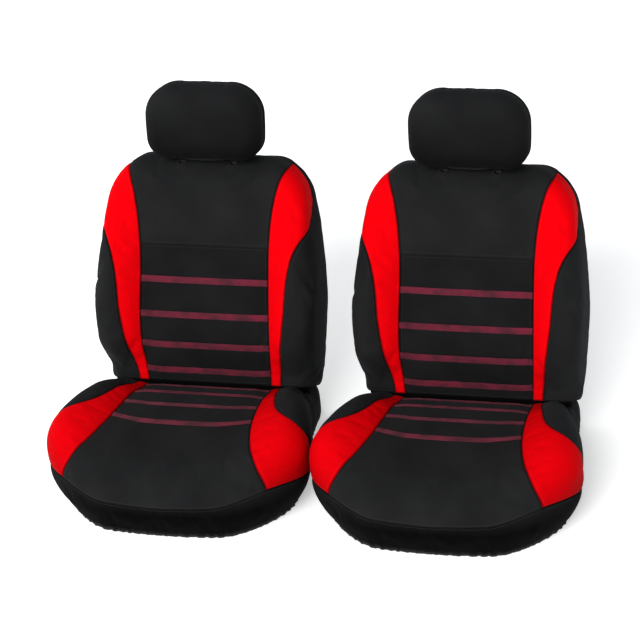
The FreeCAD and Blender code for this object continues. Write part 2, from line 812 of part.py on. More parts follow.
# ---------------------------------------------------------------------------
# Checks and files
# ---------------------------------------------------------------------------
for item in doc.Objects:
    if "Invalid" in item.State or "Error" in item.State:
        raise RuntimeError("%s did not recompute: %s" % (item.Name, item.State))
for name, item in nodes.items():
    if item.Shape.isNull() or not item.Shape.isValid():
        raise RuntimeError("%s has no valid shape" % name)

os.makedirs("parts", exist_ok=True)
for name, item in nodes.items():
    item.Shape.exportStep("parts/%s.step" % name)
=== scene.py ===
"""Looks of a pair of front seat covers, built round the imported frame.

Each panel is cut on the same flat pattern as its solid in the frame. A cloth simulation lets it
swell and crease between its seams; then it is seamed, topstitched and given its thickness.
Pattern and form sizes are in millimetres; every mesh is written in metres.
"""

import math

import bpy
import numpy as np
from mathutils import Matrix, Vector


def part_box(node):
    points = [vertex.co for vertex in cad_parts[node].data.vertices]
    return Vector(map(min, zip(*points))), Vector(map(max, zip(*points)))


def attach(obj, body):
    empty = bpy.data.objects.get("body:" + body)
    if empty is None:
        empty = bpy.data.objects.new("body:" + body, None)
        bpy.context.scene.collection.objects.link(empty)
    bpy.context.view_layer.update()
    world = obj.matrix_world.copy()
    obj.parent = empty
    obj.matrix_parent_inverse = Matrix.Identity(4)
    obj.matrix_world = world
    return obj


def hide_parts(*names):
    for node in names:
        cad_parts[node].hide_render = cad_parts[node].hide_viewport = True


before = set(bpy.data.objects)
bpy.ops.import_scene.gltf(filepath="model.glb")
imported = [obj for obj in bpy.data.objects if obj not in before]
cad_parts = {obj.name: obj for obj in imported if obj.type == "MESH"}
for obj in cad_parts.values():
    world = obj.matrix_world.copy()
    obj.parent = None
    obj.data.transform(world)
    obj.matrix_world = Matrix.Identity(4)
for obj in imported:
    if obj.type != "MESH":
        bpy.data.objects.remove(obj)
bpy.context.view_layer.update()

MM = 0.001
SIDES = ((-1, "left_"), (1, "right_"))

# ---- Camera, light and floor
CAMERA_PLACE = (1.5966, -5.2220, 3.7566)
CAMERA_RIGHT = (0.96764124, 0.23428549, -0.09370559)
CAMERA_UP = (-0.0469639, 0.5320916, 0.8453833)
CAMERA_LENS, CAMERA_SENSOR = 157.67, 36.0


def add_camera():
    data = bpy.data.cameras.new("studio_camera")
    set_all(data, lens=CAMERA_LENS, sensor_width=CAMERA_SENSOR, clip_start=0.1, clip_end=60.0)
    camera = bpy.data.objects.new("studio_camera", data)
    right, up = Vector(CAMERA_RIGHT), Vector(CAMERA_UP)
    axes = Matrix((right, up, right.cross(up))).transposed()
    camera.matrix_world = Matrix.Translation(CAMERA_PLACE) @ axes.to_4x4()
    bpy.context.scene.collection.objects.link(camera)
    bpy.context.scene.camera = camera


def set_all(thing, **values):
    for key, value in values.items():
        setattr(thing, key, value)


def add_light(name, kind, away, place=(0.0, 0.0, 0.0), **settings):
    """Lamp at a place, its back turned the way given by away."""
    data = bpy.data.lights.new(name, kind)
    set_all(data, **settings)
    light = bpy.data.objects.new(name, data)
    light.location = place
    light.rotation_euler = Vector(away).to_track_quat("Z", "Y").to_euler()
    bpy.context.scene.collection.objects.link(light)


DAYLIGHT = (0.96, 0.98, 1.0)
WORLD_STRENGTH = 0.40
KEY_FROM, KEY_STRENGTH, KEY_SPREAD = (-0.18, -0.85, 0.60), 2.9, math.radians(38)
EDGE_PLACE, EDGE_AIM, EDGE_SIZE, EDGE_POWER = (-2.4, 1.2, 2.2), (0.0, 0.1, 0.4), 1.6, 18


def add_studio():
    """A far soft box that lights the whole floor alike, and a weak one for the edges behind."""
    scene = bpy.context.scene
    set_all(scene.view_settings, view_transform="Standard", look="None")
    scene.world = bpy.data.worlds.new("studio")
    scene.world.use_nodes = True
    background = scene.world.node_tree.nodes["Background"]
    background.inputs["Color"].default_value = (*DAYLIGHT, 1.0)
    background.inputs["Strength"].default_value = WORLD_STRENGTH
    add_light("key", "SUN", KEY_FROM, energy=KEY_STRENGTH, angle=KEY_SPREAD)
    add_light("edge", "AREA", Vector(EDGE_PLACE) - Vector(EDGE_AIM), EDGE_PLACE, shape="DISK",
              size=EDGE_SIZE, energy=EDGE_POWER, color=DAYLIGHT)


# ---- Materials
class Paint:
    """A node material built step by step; sockets of the shader are named as in Blender."""

    def __init__(self, name, **sockets):
        self.material = bpy.data.materials.new(name)
        self.material.use_nodes = True
        self.tree = self.material.node_tree
        self.shader = self.tree.nodes["Principled BSDF"]
        for socket, value in sockets.items():
            self.shader.inputs[socket.replace("_", " ")].default_value = value

    def node(self, kind, inputs=(), **settings):
        made = self.tree.nodes.new(kind)
        set_all(made, **settings)
        for key, value in dict(inputs).items():
            self.feed(value, made.inputs[key])
        return made

    def feed(self, value, socket):
        if isinstance(value, bpy.types.NodeSocket):
            self.tree.links.new(value, socket)
        else:
            socket.default_value = value

    def math(self, operation, first, second=0.0, third=0.0):
        return self.node("ShaderNodeMath", {0: first, 1: second, 2: third},
                         operation=operation).outputs[0]

    def wave(self, value, pitch=1.0):
        return self.math("SINE", self.math("MULTIPLY", value, 2 * math.pi / pitch))

    def attribute(self, name, output="Vector"):
        return self.node("ShaderNodeAttribute", attribute_name=name).outputs[output]

    def place(self):
        return self.node("ShaderNodeTexCoord").outputs["Object"]

    def split(self, vector):
        parts = self.node("ShaderNodeSeparateXYZ", {"Vector": vector})
        return parts.outputs["X"], parts.outputs["Y"]

    def noise(self, vector, scale, detail=2.0):
        made = self.node("ShaderNodeTexNoise", {"Vector": vector, "Scale": scale, "Detail": detail})
        return made.outputs["Fac"]

    def ramp(self, value, stops):
        made = self.node("ShaderNodeValToRGB", {"Fac": value})
        steps = made.color_ramp.elements
        for k, (at, colour) in enumerate(stops):
            step = steps[k] if k < 2 else steps.new(at)
            step.position = at
            step.color = (*colour, 1.0)
        return made.outputs["Color"]

    def shade(self, colour, value):
        """The colour times the value; 6, 7 and 2 are the node's colour sockets."""
        made = self.node("ShaderNodeMix", {0: 1.0, 6: colour, 7: value}, data_type="RGBA",
                         blend_type="MULTIPLY")
        return made.outputs[2]

    def range(self, value, low, high, to_low, to_high):
        ends = {"From Min": low, "From Max": high, "To Min": to_low, "To Max": to_high}
        return self.node("ShaderNodeMapRange", {"Value": value, **ends}).outputs["Result"]

    def bump(self, height, distance, strength=1.0, under=None):
        made = self.node("ShaderNodeBump",
                         {"Height": height, "Distance": distance, "Strength": strength})
        if under is not None:
            self.feed(under, made.inputs["Normal"])
        return made.outputs["Normal"]

    def finish(self, colour, roughness, normal):
        for socket, value in (("Base Color", colour), ("Roughness", roughness), ("Normal", normal)):
            self.feed(value, self.shader.inputs[socket])
        return self.material


def knit_height(paint, weave, wale, course):
    """Height of plain knitting: columns of V-shaped loops, wale wide and course tall."""
    x, y = paint.split(weave)
    across = paint.math("PINGPONG", paint.math("DIVIDE", x, wale), 0.5)
    slant = paint.math("MULTIPLY_ADD", across, 0.9, paint.math("DIVIDE", y, course))
    loops, column = paint.wave(slant), paint.wave(across)
    return paint.math("MULTIPLY_ADD", paint.math("ABSOLUTE", column), 0.8,
                      paint.math("MULTIPLY", loops, 0.35))


def painted_seam_shade(paint, colour, reach=0.006, least=0.35):
    """Painted shade: darkens the colour near a seam, standing in for the shade where the cloth turns
    down into it.
    """
    near = paint.range(paint.attribute("seam", "Fac"), 0.0, reach, least, 1.0)
    return paint.shade(colour, near)


def painted_shade_below(paint, colour, low, high, least):
    """Darkens fabric from one height down to another, standing in for the shade under a piece."""
    height = paint.node("ShaderNodeSeparateXYZ", {"Vector": paint.place()}).outputs["Z"]
    return paint.shade(colour, paint.range(height, low, high, least, 1.0))


def knit_material(name, dark, light, sheen, tint, wale=0.0016, course=0.0013, fade=None):
    """Heathered knitting; fade gives the heights and the share of painted shade laid on towards the
    foot.
    """
    paint = Paint(name, Specular_IOR_Level=0.035, Sheen_Weight=sheen, Sheen_Roughness=0.42,
                  Sheen_Tint=(*tint, 1.0))
    weave = paint.attribute("weave")
    broad = paint.noise(weave, 7.0, 3.0)
    heather = paint.noise(weave, 1400.0, 1.0)
    blend = paint.math("MULTIPLY_ADD", broad, 0.65, paint.math("MULTIPLY", heather, 0.35))
    colour = paint.ramp(blend, [(0.32, dark), (0.68, light)])
    # fade lays painted shade on the colour, darker towards the foot.
    if fade:
        colour = painted_shade_below(paint, colour, *fade)
    height = knit_height(paint, weave, wale, course)
    loops = paint.bump(height, 0.0003, 0.5)
    normal = paint.bump(paint.noise(weave, 60.0, 3.0), 0.0006, 0.35, loops)
    rough = paint.range(heather, 0.3, 0.7, 0.82, 0.95)
    # The colour gets painted shade near the seams.
    return paint.finish(painted_seam_shade(paint, colour), rough, normal)


def mesh_material(name, dark, light, sheen, fade=None):
    """Fine sports mesh: staggered pin holes in a bright ground."""
    pitch = 0.0022
    paint = Paint(name, Specular_IOR_Level=0.02, Sheen_Weight=sheen, Sheen_Roughness=0.35,
                  Sheen_Tint=(*RED_SHEEN, 1.0))
    weave = paint.attribute("weave")
    x, y = paint.split(weave)
    bars = [paint.wave(paint.math(way, x, y), pitch) for way in ("ADD", "SUBTRACT")]
    holes = paint.math("MAXIMUM", paint.math("MULTIPLY", bars[0], bars[1]), 0.0)
    broad = paint.noise(weave, 6.0, 2.0)
    blend = paint.math("MULTIPLY_ADD", broad, 0.35, paint.range(holes, 0.3, 0.85, 0.6, 0.1))
    colour = paint.ramp(blend, [(0.15, dark), (0.7, light)])
    # fade lays painted shade on the colour, darker towards the foot.
    if fade:
        colour = painted_shade_below(paint, colour, *fade)
    threads = paint.bump(paint.range(holes, 0.2, 0.9, 1.0, 0.0), 0.00035, 0.6)
    normal = paint.bump(paint.noise(weave, 45.0, 2.0), 0.0005, 0.3, threads)
    rough = paint.range(broad, 0.3, 0.7, 0.72, 0.86)
    # The colour gets painted shade near the seams.
    return paint.finish(painted_seam_shade(paint, colour, 0.005, 0.25), rough, normal)


def ribbon_material(name, dark, light, ribs):
    """Narrow woven tape: cross ribs, with the ground yarn showing through unevenly."""
    paint = Paint(name, Specular_IOR_Level=0.2, Sheen_Weight=0.05, Sheen_Roughness=0.4)
    weave = paint.attribute("weave")
    x, y = paint.split(weave)
    rib, cross = paint.wave(x, ribs), paint.wave(y, ribs * 0.8)
    uneven = paint.noise(weave, 26.0, 3.0)
    blend = paint.math("MULTIPLY_ADD", paint.math("MULTIPLY", rib, cross), 0.16, uneven)
    colour = paint.ramp(blend, [(0.33, dark), (0.66, light)])
    normal = paint.bump(paint.math("MULTIPLY_ADD", rib, 0.6, cross), 0.0003, 0.5)
    rough = paint.range(uneven, 0.3, 0.7, 0.6, 0.8)
    return paint.finish(colour, rough, normal)


def webbing_material(name, dark, light):
    """Herringbone webbing: slanted floats that change hand every quarter of the width."""
    paint = Paint(name, Specular_IOR_Level=0.3)
    weave = paint.attribute("weave")
    x, y = paint.split(weave)
    quarter, float_pitch = 0.00625, 0.0018
    floats = paint.wave(paint.math("ADD", paint.math("PINGPONG", x, quarter), y), float_pitch)
    wear = paint.noise(weave, 90.0, 3.0)
    blend = paint.math("MULTIPLY_ADD", floats, 0.25, wear)
    colour = paint.ramp(blend, [(0.3, dark), (0.75, light)])
    normal = paint.bump(floats, 0.0003, 0.7)
    return paint.finish(colour, paint.range(wear, 0.3, 0.7, 0.5, 0.72), normal)


def plastic_material(name, dark, light):
    """Moulded plastic: fine spark-eroded grain and a little handling polish."""
    paint = Paint(name, Specular_IOR_Level=0.45)
    place = paint.place()
    grain = paint.noise(place, 2600.0, 2.0)
    wear = paint.noise(place, 120.0, 3.0)
    colour = paint.ramp(wear, [(0.35, dark), (0.7, light)])
    normal = paint.bump(grain, 0.0001, 0.5)
    return paint.finish(colour, paint.range(wear, 0.3, 0.7, 0.38, 0.55), normal)


def lining_material(name, dark, light):
    """Foam backing behind a thin tricot scrim."""
    paint = Paint(name, Specular_IOR_Level=0.1)
    weave = paint.attribute("weave")
    cells = paint.node("ShaderNodeTexVoronoi", {"Vector": weave, "Scale": 520.0}).outputs["Distance"]
    broad = paint.noise(weave, 14.0, 3.0)
    blend = paint.math("MULTIPLY_ADD", cells, 0.5, paint.math("MULTIPLY", broad, 0.6))
    colour = paint.ramp(blend, [(0.3, dark), (0.7, light)])
    normal = paint.bump(cells, 0.0003, 0.6)
    return paint.finish(colour, paint.range(broad, 0.3, 0.7, 0.85, 0.95), normal)


def thread_material(name, dark, light):
    paint = Paint(name, Specular_IOR_Level=0.3)
    twist = paint.noise(paint.place(), 1800.0, 2.0)
    colour = paint.ramp(twist, [(0.35, dark), (0.65, light)])
    rough = paint.range(twist, 0.3, 0.7, 0.5, 0.7)
    return paint.finish(colour, rough, paint.bump(twist, 0.0001, 0.6))


def glowing_floor_material(name):
    """White floor with a painted glow: it emits light though it is no lamp, so it stays white far off
    and lights the pieces from below.
    """
    paint = Paint(name, Specular_IOR_Level=0.1, Emission_Color=(1.0, 1.0, 1.0, 1.0),
                  Emission_Strength=0.42)
    mottle = paint.noise(paint.place(), 3.0, 4.0)
    colour = paint.ramp(mottle, [(0.3, (0.93,) * 3), (0.7, (0.96,) * 3)])
    rough = paint.range(mottle, 0.3, 0.7, 0.8, 0.9)
    return paint.finish(colour, rough, paint.bump(mottle, 0.0005, 0.2))


COOL_SHEEN, NEUTRAL_SHEEN, RED_SHEEN = (0.80, 0.90, 1.0), (0.85, 0.92, 1.0), (1.0, 0.15, 0.2)
KNIT = (0.0085, 0.0087, 0.0092), (0.0165, 0.0168, 0.0172)
RIB_WALE, RIB_COURSE = 0.0013, 0.0026
MATERIALS = {
    "black": knit_material("black_knit", *KNIT, 0.02, COOL_SHEEN),
    "ribbed": knit_material("ribbed_knit", (0.0060, 0.0061, 0.0066), (0.0125, 0.0127, 0.0132), 0.015,
                            NEUTRAL_SHEEN, RIB_WALE, RIB_COURSE),
    # Painted shade: the headrest knit darkens from 0.80 m down to 0.65 m, where it is at 0.22 of its
    # colour, for the shade on the lower headrests.
    "head": knit_material("headrest_knit_shaded_below", *KNIT, 0.015, COOL_SHEEN, fade=(0.650, 0.800, 0.22)),
    # Painted shade: the skirt is a slightly darker copy of the black knit and darkens further from 0.13
    # m down to 0.07 m, for the shade on the cushion's front skirt.
    "skirt": knit_material("shaded_skirt_knit", (0.0075, 0.0077, 0.0080), (0.0145, 0.0147, 0.0151), 0.005,
                           NEUTRAL_SHEEN, fade=(0.070, 0.130, 0.06)),
    # Painted shade: the wings are a darker copy of the red mesh that darkens further from 0.19 m down
    # to 0.045 m, for the shade on the seat wings' lower sides.
    "wing": mesh_material("shaded_wing_mesh", (0.40, 0.0, 0.001), (0.76, 0.0, 0.003), 0.005,
                          fade=(0.045, 0.190, 0.14)),
    # Painted shadow: a near-black copy of the knit without sheen, laid on the crease flap for the
    # shadow in the crease.
    "shade": knit_material("crease_shadow_knit", (0.0022, 0.0022, 0.0026), (0.0050, 0.0050, 0.0056), 0.0,
                           NEUTRAL_SHEEN),
    "red": mesh_material("red_mesh", (0.42, 0.0, 0.001), (0.80, 0.0, 0.003), 0.01),
    "stripe": ribbon_material("crimson_tape", (0.045, 0.006, 0.013), (0.16, 0.011, 0.030), 0.0014),
    "elastic": ribbon_material("black_elastic", (0.006, 0.006, 0.007), (0.016, 0.016, 0.018), 0.0012),
    "webbing": webbing_material("black_webbing", (0.010, 0.010, 0.011), (0.035, 0.035, 0.038)),
    "plastic": plastic_material("black_plastic", (0.012, 0.012, 0.013), (0.024, 0.024, 0.026)),
    "lining": lining_material("foam_lining", (0.045, 0.045, 0.048), (0.10, 0.10, 0.105)),
    "black_thread": thread_material("black_thread", (0.010, 0.010, 0.011), (0.026, 0.026, 0.028)),
    "red_thread": thread_material("red_thread", (0.42, 0.0, 0.006), (0.72, 0.0, 0.012)),
    "floor": glowing_floor_material("glowing_floor"),
}
SLOTS = {
    **dict.fromkeys(("black", "ribbed", "head", "skirt", "shade", "black_thread"), "black_fabric"),
    **dict.fromkeys(("red", "wing", "red_thread"), "red_fabric"),
    "stripe": "stripe_fabric", "elastic": "elastic", "webbing": "webbing", "plastic": "buckle_plastic"}


# ---- Sizes of the covers, as in the part's own sheet
TILT = math.radians(18)
PIVOT_Y, PIVOT_Z = 75.0, 120.0
BACK_HALF, BACK_TOP, BACK_CORNER, BACK_FOOT, BACK_FOOT_CORNER = 262, 520, 100, -400, 50
BACK_EDGE, BACK_REAR_EDGE, BACK_BOLSTER = 45, 20, 48
BACK_SEAM_HEIGHT, GUSSET_LINE, RED_CORNER = 320, 114, 485
SHOULDER_TURN, SIDE_TUCK, FOOT_DROP = 58, 28, 20
SEAT_HALF, SEAT_FRONT, SEAT_REAR = 275, 442, 100
SEAT_CORNER, SEAT_REAR_CORNER, SEAT_EDGE = 150, 40, 68
SEAT_BOLSTER, SEAT_BOW, SEAT_TUCK = 40, 32, 40
CREASE_Y, CREASE_HALF, BAND_SIDE, BAND_TOP = -8, 157, 108, 84
WING_CORNER, WING_SIDE_Y, WING_TURN = 44, -208, 262
HEM_HEIGHT, HEM_THICK, HEM_TALL, HEM_INSET, HEM_TUBE = 8.0, 4.0, 12.5, 1.0, 3.0
HEAD_HALF, HEAD_HIGH, HEAD_CORNER_LOW, HEAD_CORNER_HIGH = 135, 91, 50, 75
HEAD_EDGE, HEAD_REAR_EDGE, HEAD_DEPTH, HEAD_REAR_DEPTH = 45, 26, 65, 30
HEAD_TURN, HEAD_RISE, HEAD_FORWARD = math.radians(14), 628, 45
SLOT_HALF, SLOT_WIDE, SLOT_CORD = 95, 36, 2.8
POST_SPACING, POST_BACK, POST_HOLE, POST_BINDING, POST_REACH = 124, -46.7, 8.0, 2.4, 40
FLAP_HALF, FLAP_RADIUS, FLAP_START, FLAP_END, FLAP_BEHIND = 240, 78, 158, 224.5, 4.8
STRAP_WIDTH, STRAP_THICK, STRAP_Z, STRAP_FOLD = 25, 1.6, 12, 30
STRAP_FRONT, STRAP_REAR, STRAP_TAIL = -451, 96.5, 4
BUCKLE_WIDTH, BUCKLE_HEIGHT, BUCKLE_LENGTH = 34, 9, 30
BUCKLE_Y, BUCKLE_PLAY, BUCKLE_ROUNDING = -150, 0.5, 0.5
PRONG_WIDTH, PRONG_HEIGHT, PRONG_LENGTH, PRONG_BODY = 20, 4.4, 16, 28
FABRIC, FLAP_FABRIC = 2.6, 2.0

BACK_FACE = [(-80, 70), (0, 78), (80, 100), (160, 104), (260, 94), (400, 84), (550, 68)]
BACK_WIDTH = [(-80, 256), (0, 256), (60, 260), (120, 264), (200, 266), (350, 255), (450, 240),
              (520, 230)]
BACK_REAR = [(-80, 55), (0, 55), (150, 62), (300, 60), (450, 50), (550, 42)]
BACK_INNER = [(0, 154), (50, 156), (100, 157), (300, 157), (400, 169), (470, 194), (522, 230)]
BACK_OUTER = [(0, 180), (60, 187), (160, 198), (240, 206), (300, 221), (342, 248), (375, 296),
              (414, 330)]
SEAT_TOP = [(-550, 130), (-460, 146), (-360, 166), (-250, 172), (-120, 155), (0, 118), (200, 112)]
SEAT_WIDTH = [(-500, 262), (-420, 284), (-340, 304), (-270, 310), (-180, 294), (-80, 263), (-30, 252),
              (10, 248.5), (60, 248), (200, 248)]
SEAT_INNER = [(-420, 249), (-380, 212), (-330, 186), (-260, 169), (-180, 162), (-100, 160), (0, 157)]
SEAT_OUTER = [(-8, 182), (-90, 194), (-160, 201), (-210, 215), (-238, 237), (-250, 268),
              (-246, 308), (-230, 348)]
BACK_STRIPES, SEAT_STRIPES, STRIPE_HALF = [237, 154, 79, 12], [-23, -86, -154, -225], 7.5

REAR_LOW, REAR_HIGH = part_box("right_back_rear_panel")
SEAT_X = REAR_LOW.lerp(REAR_HIGH, 0.5).x / MM
ROW_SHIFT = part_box("left_seat_strap_front")[0].y / MM - STRAP_FRONT


# ---- Curves
TRACE = np.linspace(0.0, 1.0, 241)
SPARSE = TRACE[::6]
FULL_TURN = 2 * math.pi


def smooth(t):
    t = np.clip(t, 0.0, 1.0)
    return t * t * (3 - 2 * t)


def station(table, at):
    """Cubic through the table's stations, held at the end values outside it."""
    xs, ys = np.array(table, float).T
    slopes = np.empty(len(xs))
    slopes[1:-1] = (ys[2:] - ys[:-2]) / (xs[2:] - xs[:-2])
    slopes[0] = (ys[1] - ys[0]) / (xs[1] - xs[0])
    slopes[-1] = (ys[-1] - ys[-2]) / (xs[-1] - xs[-2])
    at = np.clip(at, xs[0], xs[-1])
    i = np.clip(np.searchsorted(xs, at, side="left") - 1, 0, len(xs) - 2)
    span = xs[i + 1] - xs[i]
    t = (at - xs[i]) / span
    return ((2 * t ** 3 - 3 * t ** 2 + 1) * ys[i] + (t ** 3 - 2 * t ** 2 + t) * span * slopes[i]
            + (3 * t ** 2 - 2 * t ** 3) * ys[i + 1] + (t ** 3 - t ** 2) * span * slopes[i + 1])


def run_lengths(points):
    """Distance along a line of points, from its first."""
    steps = np.linalg.norm(np.diff(points, axis=0), axis=1)
    return np.concatenate([[0.0], np.cumsum(steps)])


class Curve:
    """Pattern curve kept as a fine trace, read by its own position from 0 to 1."""

    def __init__(self, points):
        self.points = np.array(points, float)

    def __call__(self, t):
        last = len(self.points) - 1
        at = np.clip(t, 0.0, 1.0) * last
        low = np.minimum(at.astype(int), last - 1)
        share = (at - low)[..., None]
        return self.points[low] * (1 - share) + self.points[low + 1] * share

    def flip(self):
        return Curve(self.points * (-1, 1))

    def reverse(self):
        return Curve(self.points[::-1])

    def part(self, start, end):
        return Curve(self(start + (end - start) * TRACE))

    def where(self, test):
        """Position where test(points) first fails."""
        fine = np.linspace(0.0, 1.0, 20001)
        return fine[np.argmin(test(self(fine)))]


def path(points):
    """Smooth plane curve through points, by distance along them."""
    points = np.array(points, float)
    lengths = run_lengths(points)
    at = TRACE * lengths[-1]
    return Curve(np.stack([station(np.stack([lengths, points[:, k]], 1), at) for k in (0, 1)], 1))


def line(a, b):
    return Curve([a, b])


def level(end):
    """Straight edge across the centre line, given its right end."""
    return line(end * (-1, 1), end)


def chain(first, second):
    """One curve made of two that meet."""
    points = np.concatenate([first(TRACE), second(TRACE)[1:]])
    lengths = run_lengths(points)
    at = TRACE * lengths[-1]
    return Curve(np.stack([np.interp(at, lengths, points[:, k]) for k in (0, 1)], 1))


def across_front(edge, q_end, q_middle):
    """Edge from the left through the middle to the right, given its right half by rim position."""
    u = 2 * TRACE - 1
    points = edge(q_middle + (q_end - q_middle) * np.abs(u))
    return Curve(np.stack([np.copysign(points[:, 0], u), points[:, 1]], 1))


def along_rim(edge, q_start, q_end):
    return Curve(edge(q_start + (q_end - q_start) * TRACE))


# ---- Padded forms: a rounded outline with a soft edge, unrolled on a flat pattern
class Form:
    """Maps pattern points to the surface of one padded form.

    place(x, y, drop, nx, ny, s) sets a point that has turned down by drop over the soft edge: nx,
    ny point outwards there and s is the distance past the start of the edge.
    """

    def __init__(self, half, low, high, corner_low, corner_high, edge, place):
        self.half, self.low, self.high, self.edge, self.place = half, low, high, edge, place
        self.corners = (corner_low, corner_high)
        self.runs = np.array([half - corner_low, corner_low * math.pi / 2,
                              high - low - corner_low - corner_high,
                              corner_high * math.pi / 2, half - corner_high])

    def at(self, pattern):
        px, py = pattern[..., 0], pattern[..., 1]
        y = py - (self.low + self.high) / 2
        corner = np.where(y < 0, self.corners[0], self.corners[1])
        qx = np.abs(px) - (self.half - corner)
        qy = np.abs(y) - ((self.high - self.low) / 2 - corner)
        turning = (qx > 0) & (qy > 0)
        sideways = ~turning & (qx > qy)
        reach = np.where(turning, np.hypot(qx, qy), 1.0)
        nx = np.copysign(np.where(turning, qx / reach, sideways * 1.0), px)
        ny = np.copysign(np.where(turning, qy / reach, ~sideways * 1.0), y)
        far = np.where(turning, reach, np.maximum(qx, qy)) - corner
        s = far + self.edge
        angle = np.clip(s / self.edge, 0.0, math.pi / 2)
        back = np.where(s > 0, self.edge * np.sin(angle) - self.edge - far, 0.0)
        drop = self.edge * (1 - np.cos(angle)) + np.maximum(s - self.edge * math.pi / 2, 0.0)
        return np.stack(self.place(px + nx * back, py + ny * back, drop, nx, ny, s), -1)

    def rim(self, q):
        """Outline points and outward directions, q from 0 (low middle) to 1 (high middle)."""
        low_corner, high_corner = self.corners
        starts = np.concatenate([[0.0], np.cumsum(self.runs)])
        at = np.clip(q, 0.0, 1.0) * starts[-1]
        run = np.clip(np.searchsorted(starts, at, side="left") - 1, 0, 4)
        past = at - starts[run]
        low_turn, high_turn = past / low_corner, past / high_corner
        nil, one = 0 * past, 0 * past + 1
        nx = np.choose(run, [nil, np.sin(low_turn), one, np.cos(high_turn), nil])
        ny = np.choose(run, [-one, -np.cos(low_turn), nil, np.sin(high_turn), one])
        low_x, high_x = self.half - low_corner * (1 - nx), self.half - high_corner * (1 - nx)
        low_y, high_y = self.low + low_corner * (1 + ny), self.high - high_corner * (1 - ny)
        x = np.choose(run, [past, low_x, nil + self.half, high_x, self.half - high_corner - past])
        y = np.choose(run, [nil + self.low, low_y, self.low + low_corner + past, high_y,
                            nil + self.high])
        return np.stack([x, y], -1), np.stack([nx, ny], -1)

    def rim_at(self, height):
        """q where the outline's straight side is at this height."""
        return (self.runs[0] + self.runs[1] + height - self.low - self.corners[0]) / self.runs.sum()

    def rim_turned(self, degrees, high):
        """q where the outline faces this many degrees above (high) or below the side."""
        turn = math.radians(degrees)
        if high:
            return (self.runs[:3].sum() + self.corners[1] * turn) / self.runs.sum()
        return (self.runs[0] + self.corners[0] * (math.pi / 2 - turn)) / self.runs.sum()

    def out(self, q, s):
        """Pattern points at distance s past the start of the soft edge."""
        place, outward = self.rim(q)
        return place + outward * (np.asarray(s) - self.edge)[..., None]

    def out_until(self, q, test):
        """Pattern points on the way out where test(points) first fails."""
        q = np.asarray(q, float)
        low, high = np.zeros(q.shape), np.full(q.shape, self.edge * 6.0)
        for _ in range(32):
            middle = (low + high) / 2
            inside = test(self.at(self.out(q, middle)))
            low, high = np.where(inside, middle, low), np.where(inside, high, middle)
        return self.out(q, low)


def unit(vectors):
    return vectors / np.maximum(np.linalg.norm(vectors, axis=-1, keepdims=True), 1e-9)


def leaning(place, turn):
    """Function from x, v up and w rearwards in a frame leaning back by turn to the seat's frame."""
    def to_seat(x, v, w):
        return (x, place[0] + v * math.sin(turn) + w * math.cos(turn),
                place[1] + v * math.cos(turn) - w * math.sin(turn))
    return to_seat


def lean_back(y, z, place, turn):
    """v up and w rearwards of points y, z of the seat's frame."""
    y, z = y - place[0], z - place[1]
    return y * math.sin(turn) + z * math.cos(turn), y * math.cos(turn) - z * math.sin(turn)


BACK_PLACE = (PIVOT_Y, PIVOT_Z)
back_frame = leaning(BACK_PLACE, TILT)
HEAD_PLACE = (PIVOT_Y + HEAD_RISE * math.sin(TILT) - HEAD_FORWARD, PIVOT_Z + HEAD_RISE * math.cos(TILT))
head_frame = leaning(HEAD_PLACE, HEAD_TURN)


def widened(x, table, at, half, start):
    """x spread outwards past start so that half becomes the table's half width."""
    return x * (1 + (station(table, at) / half - 1) * smooth((np.abs(x) - start) / 140))


def place_back_front(x, v, drop, nx, ny, s):
    bolster = BACK_BOLSTER * smooth((np.abs(x) - 140) / 90) * smooth((BACK_TOP - 20 - v) / 280)
    w = drop - station(BACK_FACE, v) - bolster * smooth(v / 100)
    return back_frame(widened(x, BACK_WIDTH, v, BACK_HALF, 100), v, w)


def place_back_rear(x, v, drop, nx, ny, s):
    return back_frame(widened(x, BACK_WIDTH, v, BACK_HALF, 100), v, station(BACK_REAR, v) - drop)


def place_seat(x, y, drop, nx, ny, s):
    side = smooth((np.abs(x) - 140) / 110) * smooth((y + 500) / 260)
    z = station(SEAT_TOP, y) + SEAT_BOLSTER * side * (1 - 0.75 * smooth((y + 120) / 160)) - drop
    low = np.clip((85 - z) / 85, 0.0, 1.0)
    tuck = SEAT_TUCK * low ** 1.6 * (0.6 + 0.4 * nx * nx) * smooth((-y - 10) / 90) * (s > 0)
    bow = SEAT_BOW * (1 - (x / SEAT_HALF) ** 2) * smooth((-200 - y) / 220)
    return widened(x, SEAT_WIDTH, y, SEAT_HALF, 120) - nx * tuck, y - bow - ny * tuck, z


def place_head(x, v, w, belly):
    """A headrest's face or back, fuller by belly in the middle and by a little at half height."""
    round_x, round_v = (np.maximum(1 - (a / b) ** 2, 0.0) for a, b in ((x, HEAD_HALF), (v, HEAD_HIGH)))
    return head_frame(x * (1 + 0.04 * np.cos(v / 65)), v, w + belly * (round_x * round_v))


def place_head_front(x, v, drop, nx, ny, s):
    return place_head(x, v, drop - HEAD_DEPTH, -12)


def place_head_rear(x, v, drop, nx, ny, s):
    return place_head(x, v, HEAD_REAR_DEPTH - drop, 6)


BACK_OUTLINE = (BACK_HALF, BACK_FOOT, BACK_TOP, BACK_FOOT_CORNER, BACK_CORNER)
HEAD_OUTLINE = (HEAD_HALF, -HEAD_HIGH, HEAD_HIGH, HEAD_CORNER_LOW, HEAD_CORNER_HIGH)
back_front = Form(*BACK_OUTLINE, BACK_EDGE, place_back_front)
back_rear = Form(*BACK_OUTLINE, BACK_REAR_EDGE, place_back_rear)
seat_top = Form(SEAT_HALF, -SEAT_FRONT, SEAT_REAR, SEAT_CORNER, SEAT_REAR_CORNER, SEAT_EDGE, place_seat)
head_front = Form(*HEAD_OUTLINE, HEAD_EDGE, place_head_front)
head_rear = Form(*HEAD_OUTLINE, HEAD_REAR_EDGE, place_head_rear)


# ---- Panels on the pattern
ALL_ALONG = 1000


